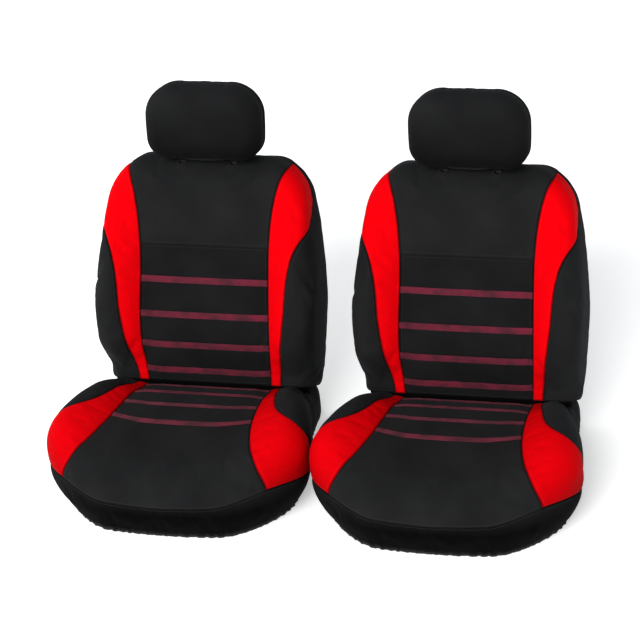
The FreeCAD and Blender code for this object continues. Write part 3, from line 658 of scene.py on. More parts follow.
class Panel:
    """Cloth between four pattern curves: low and high run across, left and right run up.

    soft gives, for a flat-felled edge that hardly shows, how far out from the centre line it is so.
    """

    def __init__(self, form, low, high, left, right, cloth, turned=1, stripes=(), soft=()):
        self.form, self.low, self.high, self.left, self.right = form, low, high, left, right
        self.cloth, self.turned, self.stripes, self.soft = cloth, turned, stripes, dict(soft)

    def mirrored(self):
        """The same panel on the other side of the centre line."""
        return Panel(self.form, self.low.flip().reverse(), self.high.flip().reverse(),
                     self.right.flip(), self.left.flip(), self.cloth, self.turned, self.stripes,
                     self.soft)

    def pattern(self, u, v):
        low, high, left, right = self.low(u), self.high(u), self.left(v), self.right(v)
        u, v = u[..., None], v[..., None]
        corners = ((1 - u) * (1 - v) * self.low.points[0] + u * (1 - v) * self.low.points[-1]
                   + (1 - u) * v * self.high.points[0] + u * v * self.high.points[-1])
        return (1 - v) * low + v * high + (1 - u) * left + u * right - corners

    def surface(self, u, v):
        return self.form.at(self.pattern(u, v))

    def spans(self):
        """Lengths of the cloth across at each v, and up at each u, of SPARSE; and the points."""
        u, v = np.meshgrid(SPARSE, SPARSE, indexing="ij")
        points = self.surface(u, v)
        across = np.linalg.norm(np.diff(points, axis=0), axis=-1).sum(0)
        up = np.linalg.norm(np.diff(points, axis=1), axis=-1).sum(1)
        return across, up, points


def back_side_end(q):
    """Where the backrest's side wall meets the rear panel."""
    def before_seam(point):
        v, w = lean_back(point[..., 1], point[..., 2], BACK_PLACE, TILT)
        return w < station(BACK_REAR, v) - BACK_REAR_EDGE
    return back_front.out_until(q, before_seam)


def seat_down_to(q, z):
    return seat_top.out_until(q, lambda point: point[..., 2] > z)


def back_panels():
    q_shoulder, q_foot = back_front.rim_turned(SHOULDER_TURN, True), back_front.rim_at(0)
    q_gusset = back_front.rim_at(BACK_OUTER[-1][0])
    gusset = back_front.out(np.linspace(q_gusset, q_shoulder, 7), np.full(7, float(GUSSET_LINE)))
    inner = path([(BACK_INNER[0][1], -FOOT_DROP)] + [(x, v) for v, x in BACK_INNER]
                 + [gusset[-1], back_side_end(q_shoulder)])
    outer = path([(BACK_OUTER[0][1] - 2, -FOOT_DROP)] + [(x, v) for v, x in BACK_OUTER[:-1]]
                 + list(gusset))
    middle = inner.where(lambda p: p[..., 1] < BACK_SEAM_HEIGHT)
    reach = math.dist(gusset[-1], inner.points[0])
    inner_top = inner.where(lambda p: np.linalg.norm(p - inner.points[0], axis=-1) < reach)
    outer_top = outer.where(lambda p: p[..., 1] < RED_CORNER)
    upper, lower = inner.part(middle, 1), inner.part(0, middle)
    yoke, foot = level(inner(np.float64(middle))), level(inner.points[0])
    top = across_front(back_side_end, q_shoulder, 1.0)
    foot_end = back_side_end(q_foot)
    start = BACK_HALF - BACK_EDGE
    side_foot = path([outer.points[0], (start + 60, -FOOT_DROP - 3), (start + 82, -SIDE_TUCK),
                      (foot_end[0] - 26, -SIDE_TUCK), foot_end])
    side_top = line(outer.points[-1], back_side_end(q_shoulder))
    side_rear = along_rim(back_side_end, q_foot, q_shoulder)
    red_foot = line(inner.points[0], outer.points[0])
    red_top = outer.part(outer_top, 1).reverse()
    q_arc = back_rear.rim_turned(45, True)

    def rear_end(q):
        return back_rear.out(q, BACK_REAR_EDGE * math.pi / 2)

    rear_side, rear_top = along_rim(rear_end, q_foot, q_arc), across_front(rear_end, q_arc, 1.0)
    return {
        "back_center_panel": Panel(back_front, yoke, top, upper.flip(), upper, "black",
                                   soft={"low": ALL_ALONG}),
        "back_ribbed_panel": Panel(back_front, foot, yoke, lower.flip(), lower, "ribbed",
                                   stripes=BACK_STRIPES, soft={"high": ALL_ALONG}),
        "back_red_panel_right": Panel(back_front, red_foot, red_top, inner.part(0, inner_top),
                                      outer.part(0, outer_top), "red"),
        "back_side_panel_right": Panel(back_front, side_foot, side_top, outer, side_rear, "black"),
        "back_rear_panel": Panel(back_rear, level(rear_side.points[0]), rear_top, rear_side.flip(),
                                 rear_side, "black", turned=-1),
    }


HEM = HEM_HEIGHT + 0.4
Q_SEAT_CORNER = seat_top.rim_turned(WING_CORNER, False)
Q_SEAT_SIDE = seat_top.rim_at(WING_SIDE_Y)
Q_CREASE = seat_top.rim_at(CREASE_Y)


def skirt_top(q):
    heights = [(0.0, 92), (Q_SEAT_CORNER * 0.55, 97), (Q_SEAT_CORNER, 113),
               ((Q_SEAT_CORNER + Q_SEAT_SIDE) / 2, 90), (Q_SEAT_SIDE, 56)]
    return seat_down_to(q, station(heights, q))


def band_edge(q):
    heights = [(Q_CREASE, BAND_SIDE), (seat_top.rim_turned(45, True), BAND_TOP + 6), (1.0, BAND_TOP)]
    return seat_down_to(q, station(heights, q))


def to_hem(q):
    return seat_down_to(q, HEM)


def seat_panels():
    corner, side = skirt_top(Q_SEAT_CORNER), skirt_top(Q_SEAT_SIDE)
    inner = path([corner] + [(x, y) for y, x in SEAT_INNER[1:-1]] + [(CREASE_HALF, CREASE_Y)])
    outer = path([side] + [(x, y) for y, x in reversed(SEAT_OUTER)])
    hem_side, hem_crease = to_hem(Q_SEAT_SIDE), to_hem(Q_CREASE)
    skirt_end, band_end = line(hem_side, side), line(hem_crease, band_edge(Q_CREASE))
    turn = outer.where(lambda p: p[..., 0] > WING_TURN)
    front = across_front(skirt_top, Q_SEAT_CORNER, 0.0)
    crease = level(np.array([CREASE_HALF, CREASE_Y]))
    wing_low = along_rim(skirt_top, Q_SEAT_CORNER, Q_SEAT_SIDE)
    wing_top = line(inner.points[-1], outer.points[-1])
    side_low = along_rim(to_hem, Q_SEAT_SIDE, Q_CREASE)
    side_front = chain(skirt_end, outer.part(0, turn))
    skirt_low, skirt_high = (across_front(edge, Q_SEAT_SIDE, 0.0) for edge in (to_hem, skirt_top))
    band_low, band_high = (across_front(edge, Q_CREASE, 1.0) for edge in (to_hem, band_edge))
    return {
        "seat_center_panel": Panel(seat_top, front, crease, inner.flip(), inner, "black",
                                   stripes=SEAT_STRIPES, soft={"low": ALL_ALONG}),
        "seat_red_wing_right": Panel(seat_top, wing_low, wing_top, inner, outer, "wing"),
        "seat_side_panel_right": Panel(seat_top, side_low, outer.part(turn, 1), side_front,
                                       line(hem_crease, outer.points[-1]), "black",
                                       soft={"low": ALL_ALONG}),
        "seat_front_skirt": Panel(seat_top, skirt_low, skirt_high, skirt_end.flip(), skirt_end, "skirt",
                                  soft={"high": corner[0], "low": ALL_ALONG}),
        "seat_rear_band": Panel(seat_top, band_low, band_high, band_end.flip(), band_end, "black",
                                turned=-1, soft={"low": ALL_ALONG}),
    }


def head_vw(points):
    return lean_back(points[..., 1], points[..., 2], HEAD_PLACE, HEAD_TURN)


def head_front_end(q):
    low_side = np.asarray(q) < 0.5

    def before_seam(point):
        slot = SLOT_WIDE * np.maximum(1 - (point[..., 0] / SLOT_HALF) ** 2, 0.0)
        return head_vw(point)[1] < np.where(low_side, -slot, 0.0)
    return head_front.out_until(q, before_seam)


def head_rear_end(q):
    return head_rear.out_until(q, lambda point: head_vw(point)[1] > 0)


def head_panel(form, end, turned):
    q_low, q_high = form.rim_turned(45, False), form.rim_turned(45, True)
    side = along_rim(end, q_low, q_high)
    return Panel(form, across_front(end, q_low, 0.0), across_front(end, q_high, 1.0), side.flip(),
                 side, "head", turned)


def all_panels():
    """Every panel of one seat by node name, in its seat's own frame."""
    panels = {**back_panels(), **seat_panels(),
              "head_front_panel": head_panel(head_front, head_front_end, 1),
              "head_rear_panel": head_panel(head_rear, head_rear_end, -1)}
    for name in [n for n in panels if n.endswith("_right")]:
        panels[name.replace("_right", "_left")] = panels[name].mirrored()
    return panels


BODIES = {"back": "backrest_cover", "seat": "cushion_cover", "head": "headrest_cover"}
SUPPORTS = {"back": "back_hem_elastic", "seat": "seat_hem_elastic", "head": "head_hem_elastic"}


def cover_of(name):
    """back, seat or head: the cover that a piece belongs to."""
    return name.split("_")[0]


# ---- Meshes
def place_in_row(points, side):
    """Seat frame in millimetres to the row's frame in metres."""
    return (points + (side * SEAT_X, ROW_SHIFT, 0.0)) * MM


def add_mesh(name, points, faces, materials, choice=None, weave=None, seam=None):
    """Object from points and a list of face groups, each a table of vertex numbers."""
    mesh = bpy.data.meshes.new(name)
    mesh.vertices.add(len(points))
    mesh.vertices.foreach_set("co", np.asarray(points, np.float32).ravel())
    total = sum(f.size for f in faces)
    mesh.loops.add(total)
    corners = np.concatenate([f.ravel() for f in faces])
    mesh.loops.foreach_set("vertex_index", corners.astype(np.int32))
    sizes = np.concatenate([np.full(len(f), f.shape[1]) for f in faces])
    mesh.polygons.add(len(sizes))
    mesh.polygons.foreach_set("loop_start", (np.cumsum(sizes) - sizes).astype(np.int32))
    mesh.update(calc_edges=True)
    mesh.validate()
    mesh.polygons.foreach_set("use_smooth", np.ones(len(mesh.polygons), bool))
    for material in materials:
        mesh.materials.append(MATERIALS[material])
    if choice is not None:
        mesh.polygons.foreach_set("material_index", np.asarray(choice, np.int32))
    for label, kind, field, values in (("weave", "FLOAT_VECTOR", "vector", weave),
                                       ("seam", "FLOAT", "value", seam)):
        if values is not None:
            layer = mesh.attributes.new(label, kind, "POINT")
            layer.data.foreach_set(field, np.asarray(values, np.float32).ravel())
    piece = bpy.data.objects.new(name, mesh)
    bpy.context.scene.collection.objects.link(piece)
    return piece


def grid_faces(rows, columns, start=0, closed_rows=False, closed_columns=False):
    """Quads of a grid of points stored row by row."""
    i = np.arange(rows if closed_rows else rows - 1)
    j = np.arange(columns if closed_columns else columns - 1)
    i, j = (a.ravel() for a in np.meshgrid(i, j, indexing="ij"))
    i2, j2 = (i + 1) % rows, (j + 1) % columns
    return start + np.stack([i * columns + j, i2 * columns + j, i2 * columns + j2, i * columns + j2], 1)


def grid_normals(points):
    return unit(np.cross(np.gradient(points, axis=0), np.gradient(points, axis=1)))


def slab(outer, inner):
    """Points and face groups (outer, inner and rim) of a closed slab between two grids."""
    rows, columns = outer.shape[:2]
    count = rows * columns
    ring = np.concatenate([np.arange(columns), np.arange(1, rows) * columns + columns - 1,
                           (rows - 1) * columns + np.arange(columns - 2, -1, -1),
                           np.arange(rows - 2, 0, -1) * columns])
    after = np.roll(ring, -1)
    top = grid_faces(rows, columns)
    under = grid_faces(rows, columns, count)[:, ::-1]
    rim = np.stack([ring, after, after + count, ring + count], 1)
    return np.concatenate([outer.reshape(-1, 3), inner.reshape(-1, 3)]), [top, under, rim]


# ---- Cloth simulation: every panel of a seat, held along its seams and pressed outwards
SIM_PITCH, SIM_FRAMES, SIM_SLACK = 9.0, 20, 0.012
SIM_CLOTH = {"quality": 6, "mass": 0.25, "air_damping": 4.0, "tension_stiffness": 18.0,
             "compression_stiffness": 18.0, "shear_stiffness": 8.0, "bending_stiffness": 1.2,
             "vertex_group_mass": "held", "shrink_min": -SIM_SLACK, "use_pressure": True,
             "uniform_pressure_force": 3.0}


def coarse_grid(panel):
    across, up, points = panel.spans()
    columns = int(max(across.max() / SIM_PITCH, 3)) + 1
    rows = int(max(up.max() / SIM_PITCH, 3)) + 1
    u, v = np.meshgrid(np.linspace(0, 1, columns), np.linspace(0, 1, rows), indexing="ij")
    return panel.surface(u, v)


def simulate(panels):
    """How far each panel's cloth moves, as a grid of vectors in millimetres."""
    grids = {name: coarse_grid(panel) for name, panel in panels.items()}
    points, faces, held, start = [], [], [], 0
    for name, grid in grids.items():
        rows, columns = grid.shape[:2]
        quads = grid_faces(rows, columns, start)
        faces.append(quads if panels[name].turned > 0 else quads[:, ::-1])
        border = np.zeros((rows, columns), bool)
        border[[0, -1], :] = True
        border[:, [0, -1]] = True
        held += list(np.flatnonzero(border.ravel()) + start)
        points.append(grid.reshape(-1, 3) * MM)
        start += rows * columns
    rest = np.concatenate(points)
    blank = add_mesh("cloth_blank", rest, [np.concatenate(faces)], ["black"])
    pins = blank.vertex_groups.new(name="held")
    pins.add([int(k) for k in held], 1.0, "REPLACE")
    cloth = blank.modifiers.new("cloth", "CLOTH")
    set_all(cloth.settings, **SIM_CLOTH)
    cloth.settings.effector_weights.gravity = 0.0
    cloth.collision_settings.use_collision = False
    set_all(cloth.point_cache, frame_start=1, frame_end=SIM_FRAMES)
    for step in range(1, SIM_FRAMES + 1):
        bpy.context.scene.frame_set(step)
    settled = blank.evaluated_get(bpy.context.evaluated_depsgraph_get())
    moved = np.empty(len(rest) * 3, np.float32)
    settled.data.vertices.foreach_get("co", moved)
    drift = (moved.reshape(-1, 3) - rest) / MM
    bpy.context.scene.frame_set(1)
    bpy.data.objects.remove(blank)
    drifts, start = {}, 0
    for name, grid in grids.items():
        count = grid.shape[0] * grid.shape[1]
        drifts[name] = drift[start:start + count].reshape(grid.shape)
        start += count
    return drifts


def read_grid(grid, u, v):
    """Smooth reading of a coarse grid of vectors at positions u, v from 0 to 1 (Catmull-Rom)."""
    def weights(t):
        return [(-t ** 3 + 2 * t ** 2 - t) / 2, (3 * t ** 3 - 5 * t ** 2 + 2) / 2,
                (-3 * t ** 3 + 4 * t ** 2 + t) / 2, (t ** 3 - t ** 2) / 2]

    rows, columns = grid.shape[:2]
    a, b = np.clip(u, 0, 1) * (rows - 1), np.clip(v, 0, 1) * (columns - 1)
    i, j = np.minimum(a.astype(int), rows - 2), np.minimum(b.astype(int), columns - 2)
    total = 0.0
    for di, wi in enumerate(weights(a - i)):
        for dj, wj in enumerate(weights(b - j)):
            row, column = np.clip(i + di - 1, 0, rows - 1), np.clip(j + dj - 1, 0, columns - 1)
            total = total + grid[row, column] * (wi * wj)[..., None]
    return total


# ---- Seams, gathers and thickness on a fine grid
# STITCH_ROW, SEAM_ALLOWANCE and STRIPE_SPAN count grid rows; the rest is in millimetres.
PITCH = 6.0
EDGE_STATIONS = np.array([0.0, 0.4, 1.1, 2.1, 3.4, 4.5, 5.2, 5.9, 7.5, 10.5])
BORDERS = 2 * EDGE_STATIONS[-1]
STITCH_ROW, SEAM_ALLOWANCE = 6, 9
ROLL, ROLL_DEPTH, PULL_DEPTH, PULL_REACH, STITCH_DIMPLE = 4.0, 2.2, 1.2, 11.0, 0.4
SOFT_SEAM, SEAM_LAP, SWELL_LIMIT = 0.07, 0.9, 7.0
GATHER_DEPTH, GATHER_FADE = 2.4, 20.0
TAPE_SIDE = np.array([3.0, 5.6, 6.8, 7.5, 8.0, 9.0, 11.0])
STRIPE_OFFSETS = np.concatenate([-TAPE_SIDE[::-1], [0.0], TAPE_SIDE])
STRIPE_SPAN, TAPE_RISE, CHANNEL_DEPTH, CHANNEL_REACH = 8, 0.7, 1.3, 1.8
STITCH_PITCH, STITCH_LENGTH, THREAD_SIDES = 4.6, 3.2, 6


def stations(length, middle):
    """Distances along a span: close together at both ends, where the cloth rolls into its seams."""
    length = np.atleast_1d(length)[:, None]
    near = EDGE_STATIONS * np.minimum(1.0, length / (3.2 * EDGE_STATIONS[-1]))
    inner = near[:, -1:] + (length - 2 * near[:, -1:]) * np.linspace(0, 1, middle + 2)[1:-1]
    return np.concatenate([near, inner, length - near[:, ::-1]], 1) / length


def border_distances(points):
    """Distances over the cloth from each grid point to the left, right, low and high edges."""
    across = np.linalg.norm(np.diff(points, axis=0), axis=-1)
    up = np.linalg.norm(np.diff(points, axis=1), axis=-1)
    left = np.concatenate([np.zeros((1, points.shape[1])), np.cumsum(across, 0)])
    below = np.concatenate([np.zeros((points.shape[0], 1)), np.cumsum(up, 1)], 1)
    return {"left": left, "right": left[-1:] - left, "low": below, "high": below[:, -1:] - below}


def seam_strength(panel, edge, x):
    """How strongly an edge of a panel shows as a seam, from SOFT_SEAM to 1."""
    if edge not in panel.soft:
        return 1.0 + 0.0 * x
    return SOFT_SEAM + (1 - SOFT_SEAM) * smooth((np.abs(x) - panel.soft[edge] + 8) / 16)


def seam_sink(distance):
    """Depth of the cloth near a seam: the rolled edge, the pull of the seam and the stitch line."""
    roll = ROLL_DEPTH * (1 - np.sqrt(1 - (1 - np.minimum(distance / ROLL, 1.0)) ** 2))
    pull = PULL_DEPTH * np.exp(-distance / PULL_REACH)
    return roll + pull + STITCH_DIMPLE * np.exp(-((distance - EDGE_STATIONS[STITCH_ROW]) / 0.8) ** 2)


def seam_lap(points):
    """Carries the border of a grid on past its seam line, so that neighbours lap under each other."""
    lap = np.zeros(points.shape)
    for edge, beside in ((0, 1), (-1, -2)):
        lap[edge] += unit(points[edge] - points[beside]) * SEAM_LAP
        lap[:, edge] += unit(points[:, edge] - points[:, beside]) * SEAM_LAP
    for row, column in ((0, 0), (0, -1), (-1, 0), (-1, -1)):
        lap[row, column] = 0.0
    return lap


def hem_line(q):
    """Points of the cushion's hem outline with distance along it from the front middle."""
    half = seat_top.at(to_hem(q))[:, :2]
    return half, run_lengths(half)


HEM_POINTS, HEM_LENGTHS = hem_line(np.linspace(0, 1, 161))
PLEAT_START = 400


def pleats(along):
    """Uneven pleats of gathered cloth, from -1 to 1."""
    lean = along / 24.0 + 0.35 * np.sin(along / 53.0) + 0.2 * np.sin(along / 17.0 + 1.0)
    swell = 0.65 + 0.35 * np.sin(along / 37.0 + 0.6)
    crimp = np.sin(along / 1.9 + 2 * np.sin(along / 29.0))
    return 0.75 * np.sin(FULL_TURN * lean) * swell + 0.25 * crimp


def hem_gather(points):
    """Outward push of the gathers that the elastic hem draws into the cloth above it."""
    flat = points[..., :2].reshape(-1, 2)
    gaps = np.abs(flat[:, :1]) - HEM_POINTS[:, 0], flat[:, 1:] - HEM_POINTS[:, 1]
    nearest = np.argmin(gaps[0] ** 2 + gaps[1] ** 2, axis=1)
    along = HEM_LENGTHS[nearest] * np.sign(flat[:, 0]) + PLEAT_START
    fade = np.exp(-np.maximum(points[..., 2] - HEM_HEIGHT, 0.0) / GATHER_FADE)
    return GATHER_DEPTH * pleats(along).reshape(points.shape[:2]) * fade


def slot_gather(points):
    """Gathers round the slot under a headrest."""
    x, (v, w) = points[..., 0], head_vw(points)
    near = np.hypot(np.maximum(np.abs(x) - 70, 0), np.hypot(w + 14, v + HEAD_HIGH))
    return 1.6 * pleats(x * 1.2 + 200) * np.exp(-np.maximum(near - 14, 0) / 14.0)


BACK_UP = np.array([0.0, math.sin(TILT), math.cos(TILT)])
BACK_REARWARD = np.array([0.0, math.cos(TILT), -math.sin(TILT)])


def post_centre(way):
    return np.array(back_frame(way * POST_SPACING / 2, BACK_TOP, POST_BACK))


def from_post(points, way):
    """Heights of points along a headrest post, and their offsets square to it."""
    offset = points - post_centre(way)
    height = offset @ BACK_UP
    return height, offset - height[..., None] * BACK_UP


def push_from_posts(points):
    """Moves cloth aside round the two post holes in the top of a backrest cover."""
    pushed = points.copy()
    reach = 2.5 * POST_HOLE
    for way in (-1, 1):
        height, radial = from_post(pushed, way)
        distance = np.linalg.norm(radial, axis=-1)
        inside = (distance < reach) & (np.abs(height) < POST_REACH)
        wanted = POST_HOLE + distance * (1 - POST_HOLE / reach)
        shift = radial * (wanted / np.maximum(distance, 1e-6) - 1)[..., None]
        pushed = np.where(inside[..., None], pushed + shift, pushed)
    return pushed


def fine_grid(panel):
    """u, v positions of the fine grid and its stripe rows."""
    across, up, _ = panel.spans()
    columns, rows = (int(max(span.max() - BORDERS, PITCH) / PITCH) for span in (across, up))
    base_u = stations(across.mean(), columns)[0]
    base_v = stations(up.mean(), rows)[0]
    stripe_rows = []
    if panel.stripes:
        height = up.mean()
        side = panel.left.points[:, 1]
        centres = np.interp(panel.stripes, side, np.linspace(0, 1, len(side)))
        for centre in centres:
            base_v = base_v[np.abs(base_v - centre) * height > STRIPE_OFFSETS[-1] + 1.5]
            base_v = np.sort(np.concatenate([base_v, centre + STRIPE_OFFSETS / height]))
        for centre in centres:
            first = int(np.argmin(np.abs(base_v - (centre - STRIPE_HALF / height))))
            stripe_rows.append(slice(first, first + STRIPE_SPAN + 1))
    u = stations(np.interp(base_v, SPARSE, across), columns).T
    if panel.stripes:
        return u, np.broadcast_to(base_v, (len(base_u), len(base_v))), stripe_rows
    return u, stations(np.interp(base_u, SPARSE, up), rows), stripe_rows


def tailor(name, panel, drift):
    """The finished outer and inner skins of a panel, with its seam distances and pattern."""
    u, v, stripe_rows = fine_grid(panel)
    base = panel.surface(u, v)
    edge = np.minimum.reduce(list(border_distances(base).values()))
    moved = read_grid(drift, u, v)
    size = np.linalg.norm(moved, axis=-1)
    limit = SWELL_LIMIT * (1 - np.exp(-edge / 30.0)) + 1e-6
    moved = moved * (limit * np.tanh(size / limit) / np.maximum(size, 1e-6))[..., None]
    base = base + moved
    outward = grid_normals(base) * panel.turned
    if name.startswith("seat"):
        base = base + outward * hem_gather(base)[..., None]
    if name.startswith("head"):
        base = base + outward * slot_gather(base)[..., None]
    if name == "back_center_panel":
        base = push_from_posts(base)
    outward = grid_normals(base) * panel.turned
    pattern = panel.pattern(u, v)
    ways = border_distances(panel.surface(u, v))
    strengths = {way: seam_strength(panel, way, pattern[..., 0]) for way in ways}
    sink = np.maximum.reduce([strengths[way] * seam_sink(ways[way]) for way in ways])
    # seam is the distance to the nearest seam, pushed out along soft edges; it sets how much painted
    # seam shade the materials lay on.
    seam = np.minimum.reduce([ways[way] + (1 - strengths[way]) * ROLL for way in ways])
    for stripe in panel.stripes:
        off = np.abs(pattern[..., 1] - stripe) - STRIPE_HALF
        sink = sink + CHANNEL_DEPTH * np.exp(-(off / CHANNEL_REACH) ** 2)
    lap = seam_lap(base)
    outer = base + lap - outward * sink[..., None]
    inner = base + lap - outward * (FABRIC + 1.0)
    weave = np.concatenate([pattern * MM, np.zeros(pattern.shape[:2] + (1,))], -1)
    return {"outer": outer, "inner": inner, "seam": seam * MM, "weave": weave,
            "stripe_rows": stripe_rows, "normal": grid_normals(outer) * panel.turned}


def cloth_piece(prefix, side, name, panel, cut):
    """The panel as a closed piece of cloth, lined inside, riding on its body."""
    points, faces = slab(cut["outer"], cut["inner"])
    if panel.turned < 0:
        faces = [f[:, ::-1] for f in faces]
    lined = np.zeros(np.subtract(cut["outer"].shape[:2], 1), int)
    lined[SEAM_ALLOWANCE:-SEAM_ALLOWANCE, SEAM_ALLOWANCE:-SEAM_ALLOWANCE] = 1
    choice = np.concatenate([0 * faces[0][:, 0], lined.ravel(), 0 * faces[2][:, 0]])
    if name == "back_center_panel":
        faces, choice = open_post_holes(points, faces, choice)
    weave = np.concatenate([cut["weave"].reshape(-1, 3)] * 2)
    seam = np.concatenate([cut["seam"].ravel()] * 2)
    piece = add_mesh(prefix + name + "_cloth", place_in_row(points, side), faces,
                     [panel.cloth, "lining"], choice, weave, seam)
    across, up, rest = panel.spans()
    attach(piece, prefix + BODIES[cover_of(name)])
    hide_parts(prefix + name)
    prefix + SUPPORTS[cover_of(name)]


def open_post_holes(points, faces, choice):
    """Leaves out the faces that span a post hole."""
    keep = []
    for group in faces:
        clear = np.ones(len(group), bool)
        for way in (-1, 1):
            height, radial = from_post(points[group].mean(1), way)
            distance = np.linalg.norm(radial, axis=1)
            clear &= (distance >= 0.75 * POST_HOLE) | (np.abs(height) >= POST_REACH)
        keep.append(clear)
    return [group[clear] for group, clear in zip(faces, keep)], choice[np.concatenate(keep)]


# ---- Trims: tapes, flap, hems, bindings, webbing, buckles and topstitching
def oval(across, up, count=16, square=4.0):
    """Section of a tape or cord: a rounded rectangle as a superellipse."""
    turn = np.linspace(0, FULL_TURN, count, endpoint=False)
    return np.stack([reach * np.copysign(np.abs(wave) ** (2 / square), wave)
                     for reach, wave in ((across, np.cos(turn)), (up, np.sin(turn)))], 1)


def sweep(centres, across, up, section, swell=None, closed=False):
    """Points, faces and weave of a section carried along a line of places."""
    swell = np.ones(len(centres)) if swell is None else swell
    wide, tall = section[:, 0][None, :, None], section[:, 1][None, :, None]
    points = centres[:, None] + (across[:, None] * wide + up[:, None] * tall) * swell[:, None, None]
    rows, columns = points.shape[:2]
    faces = [grid_faces(rows, columns, closed_rows=closed, closed_columns=True)]
    if not closed:
        first = np.arange(columns)
        faces += [first[None, ::-1], (first + (rows - 1) * columns)[None]]
    weave = np.zeros((rows, columns, 3))
    weave[..., 0], weave[..., 1] = run_lengths(section) * MM, run_lengths(centres)[:, None] * MM
    return points.reshape(-1, 3), faces, weave.reshape(-1, 3)


def joined(parts):
    """One set of points, faces and weave from several."""
    starts = np.cumsum([0] + [len(points) for points, faces, weave in parts])
    faces = [group + start for (points, groups, weave), start in zip(parts, starts) for group in groups]
    return np.concatenate([p[0] for p in parts]), faces, np.concatenate([p[2] for p in parts])


def trim(prefix, side, name, parts, material, body, replaces=True):
    """A finished trim piece on its body, standing for the CAD node of the same name."""
    points, faces, weave = joined(parts)
    piece = add_mesh(prefix + name + "_" + material, place_in_row(points, side), faces, [material],
                     weave=weave)
    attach(piece, prefix + body)
    if replaces:
        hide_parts(prefix + name)
    return piece


def directions(count, *vectors):
    return [np.tile(np.array(vector, float), (count, 1)) for vector in vectors]


def tapes(cut):
    """The cross stripes: woven tape laid in channels of the panel, edges turned down."""
    parts = []
    for rows in cut["stripe_rows"]:
        ground, normal = cut["outer"][2:-2, rows], cut["normal"][2:-2, rows]
        level = np.linspace(-1, 1, ground.shape[1])[None, :, None]
        channel = CHANNEL_DEPTH * np.exp(-((np.abs(level) - 1) * 4) ** 2)
        rise = TAPE_RISE * (1 - 0.55 * level ** 6) + channel
        points, faces = slab(ground + normal * rise, ground - normal * 0.3)
        parts.append((points, faces, np.tile(cut["weave"][2:-2, rows].reshape(-1, 3), (2, 1))))
    return parts


def add_tapes(prefix, side, name, cut):
    piece = trim(prefix, side, name, tapes(cut), "stripe", BODIES[cover_of(name)])
    prefix + SUPPORTS[cover_of(name)]


def add_flap(prefix, side):
    """Cloth that closes the crease: an arc about the recline axis, so it slides on itself."""
    x = np.linspace(-FLAP_HALF, FLAP_HALF, 121)
    turn = np.radians(np.linspace(FLAP_START, FLAP_END, 40))
    x, turn = np.meshgrid(x, turn, indexing="ij")
    rounding = BACK_EDGE * (1 - np.cos(np.clip((np.abs(x) - 208) / BACK_EDGE, 0, math.pi / 2)))
    crumple = 0.7 * np.sin(turn * 34 + 1.5 * np.sin(x / 61)) * np.sin(x / 37 + 2 * turn)
    radius = FLAP_RADIUS - FLAP_BEHIND - rounding + crumple
    skins = [np.stack([x, PIVOT_Y + reach * np.cos(turn), PIVOT_Z + reach * np.sin(turn)], -1)
             for reach in (radius, radius - FLAP_FABRIC)]
    weave = np.stack([x * MM, turn * FLAP_RADIUS * MM, 0 * x], -1).reshape(-1, 3)
    part = (*slab(*skins), np.tile(weave, (2, 1)))
    # The flap wears the painted crease shadow.
    piece = trim(prefix, side, "crease_flap", [part], "shade", "backrest_cover")


def seat_hem():
    """Elastic round the open underside, pleated as it pulls in."""
    q = np.linspace(0, 1, 420)
    half, lengths = hem_line(q)
    places, outward = (np.concatenate([side, (side * (-1, 1))[-2:0:-1]])
                       for side in (half, seat_top.rim(q)[1]))
    along = np.concatenate([lengths, -lengths[-2:0:-1]])
    fold = (0.3 * np.sin(along * FULL_TURN / 7.3 + np.sin(along / 31))
            + GATHER_DEPTH * pleats(along + PLEAT_START))
    flat = places + outward * (fold - HEM_THICK / 2 - HEM_INSET)[:, None]
    centres = np.concatenate([flat, np.full((len(places), 1), HEM_TALL / 2)], 1)
    across = np.concatenate([outward, np.zeros((len(places), 1))], 1)
    up = directions(len(places), (0, 0, 1))[0]
    return [sweep(centres, across, up, oval(HEM_THICK / 2, HEM_TALL / 2), closed=True)]


def gathered(along, depth, pitch, drift):
    """Swelling of a cord between the folds of the cloth sewn round it."""
    return 1 - depth * (1 + np.sin(along * FULL_TURN / pitch + np.sin(along / drift)))


def back_hem():
    """Rolled elastic hem along the foot of the rear panel."""
    x = np.linspace(-BACK_HALF + 45, BACK_HALF - 45, 260)
    centres = np.array([back_frame(k, -HEM_TUBE - 0.7, BACK_REAR[1][1] - 1.5) for k in x])
    across, up = directions(len(x), BACK_REARWARD, BACK_UP)
    swell = gathered(x, 0.09, 6.1, 17)
    swell[[0, -1]] *= 0.5
    return [sweep(centres, across, up, oval(HEM_TUBE, HEM_TUBE, square=2.2), swell)]


def slot_hem():
    """Elastic round the slot under a headrest: a bowed front run and a straight rear run."""
    half = SLOT_HALF - 6
    x = np.linspace(-1, 1, 150) * half
    parts = []
    for bow in (SLOT_WIDE - 2 * SLOT_CORD, 0.0):
        w = -SLOT_CORD - bow * (1 - (x / half) ** 2)
        centres = np.array([head_frame(a, -HEAD_HIGH + 1.5, b) for a, b in zip(x, w)])
        along = unit(np.gradient(centres, axis=0))
        up = directions(len(x), np.subtract(head_frame(0, 1, 0), head_frame(0, 0, 0)))[0]
        parts.append(sweep(centres, np.cross(along, up), up, oval(1.9, 1.45, square=2.6),
                           gathered(x, 0.08, 5.3, 19)))
    return parts


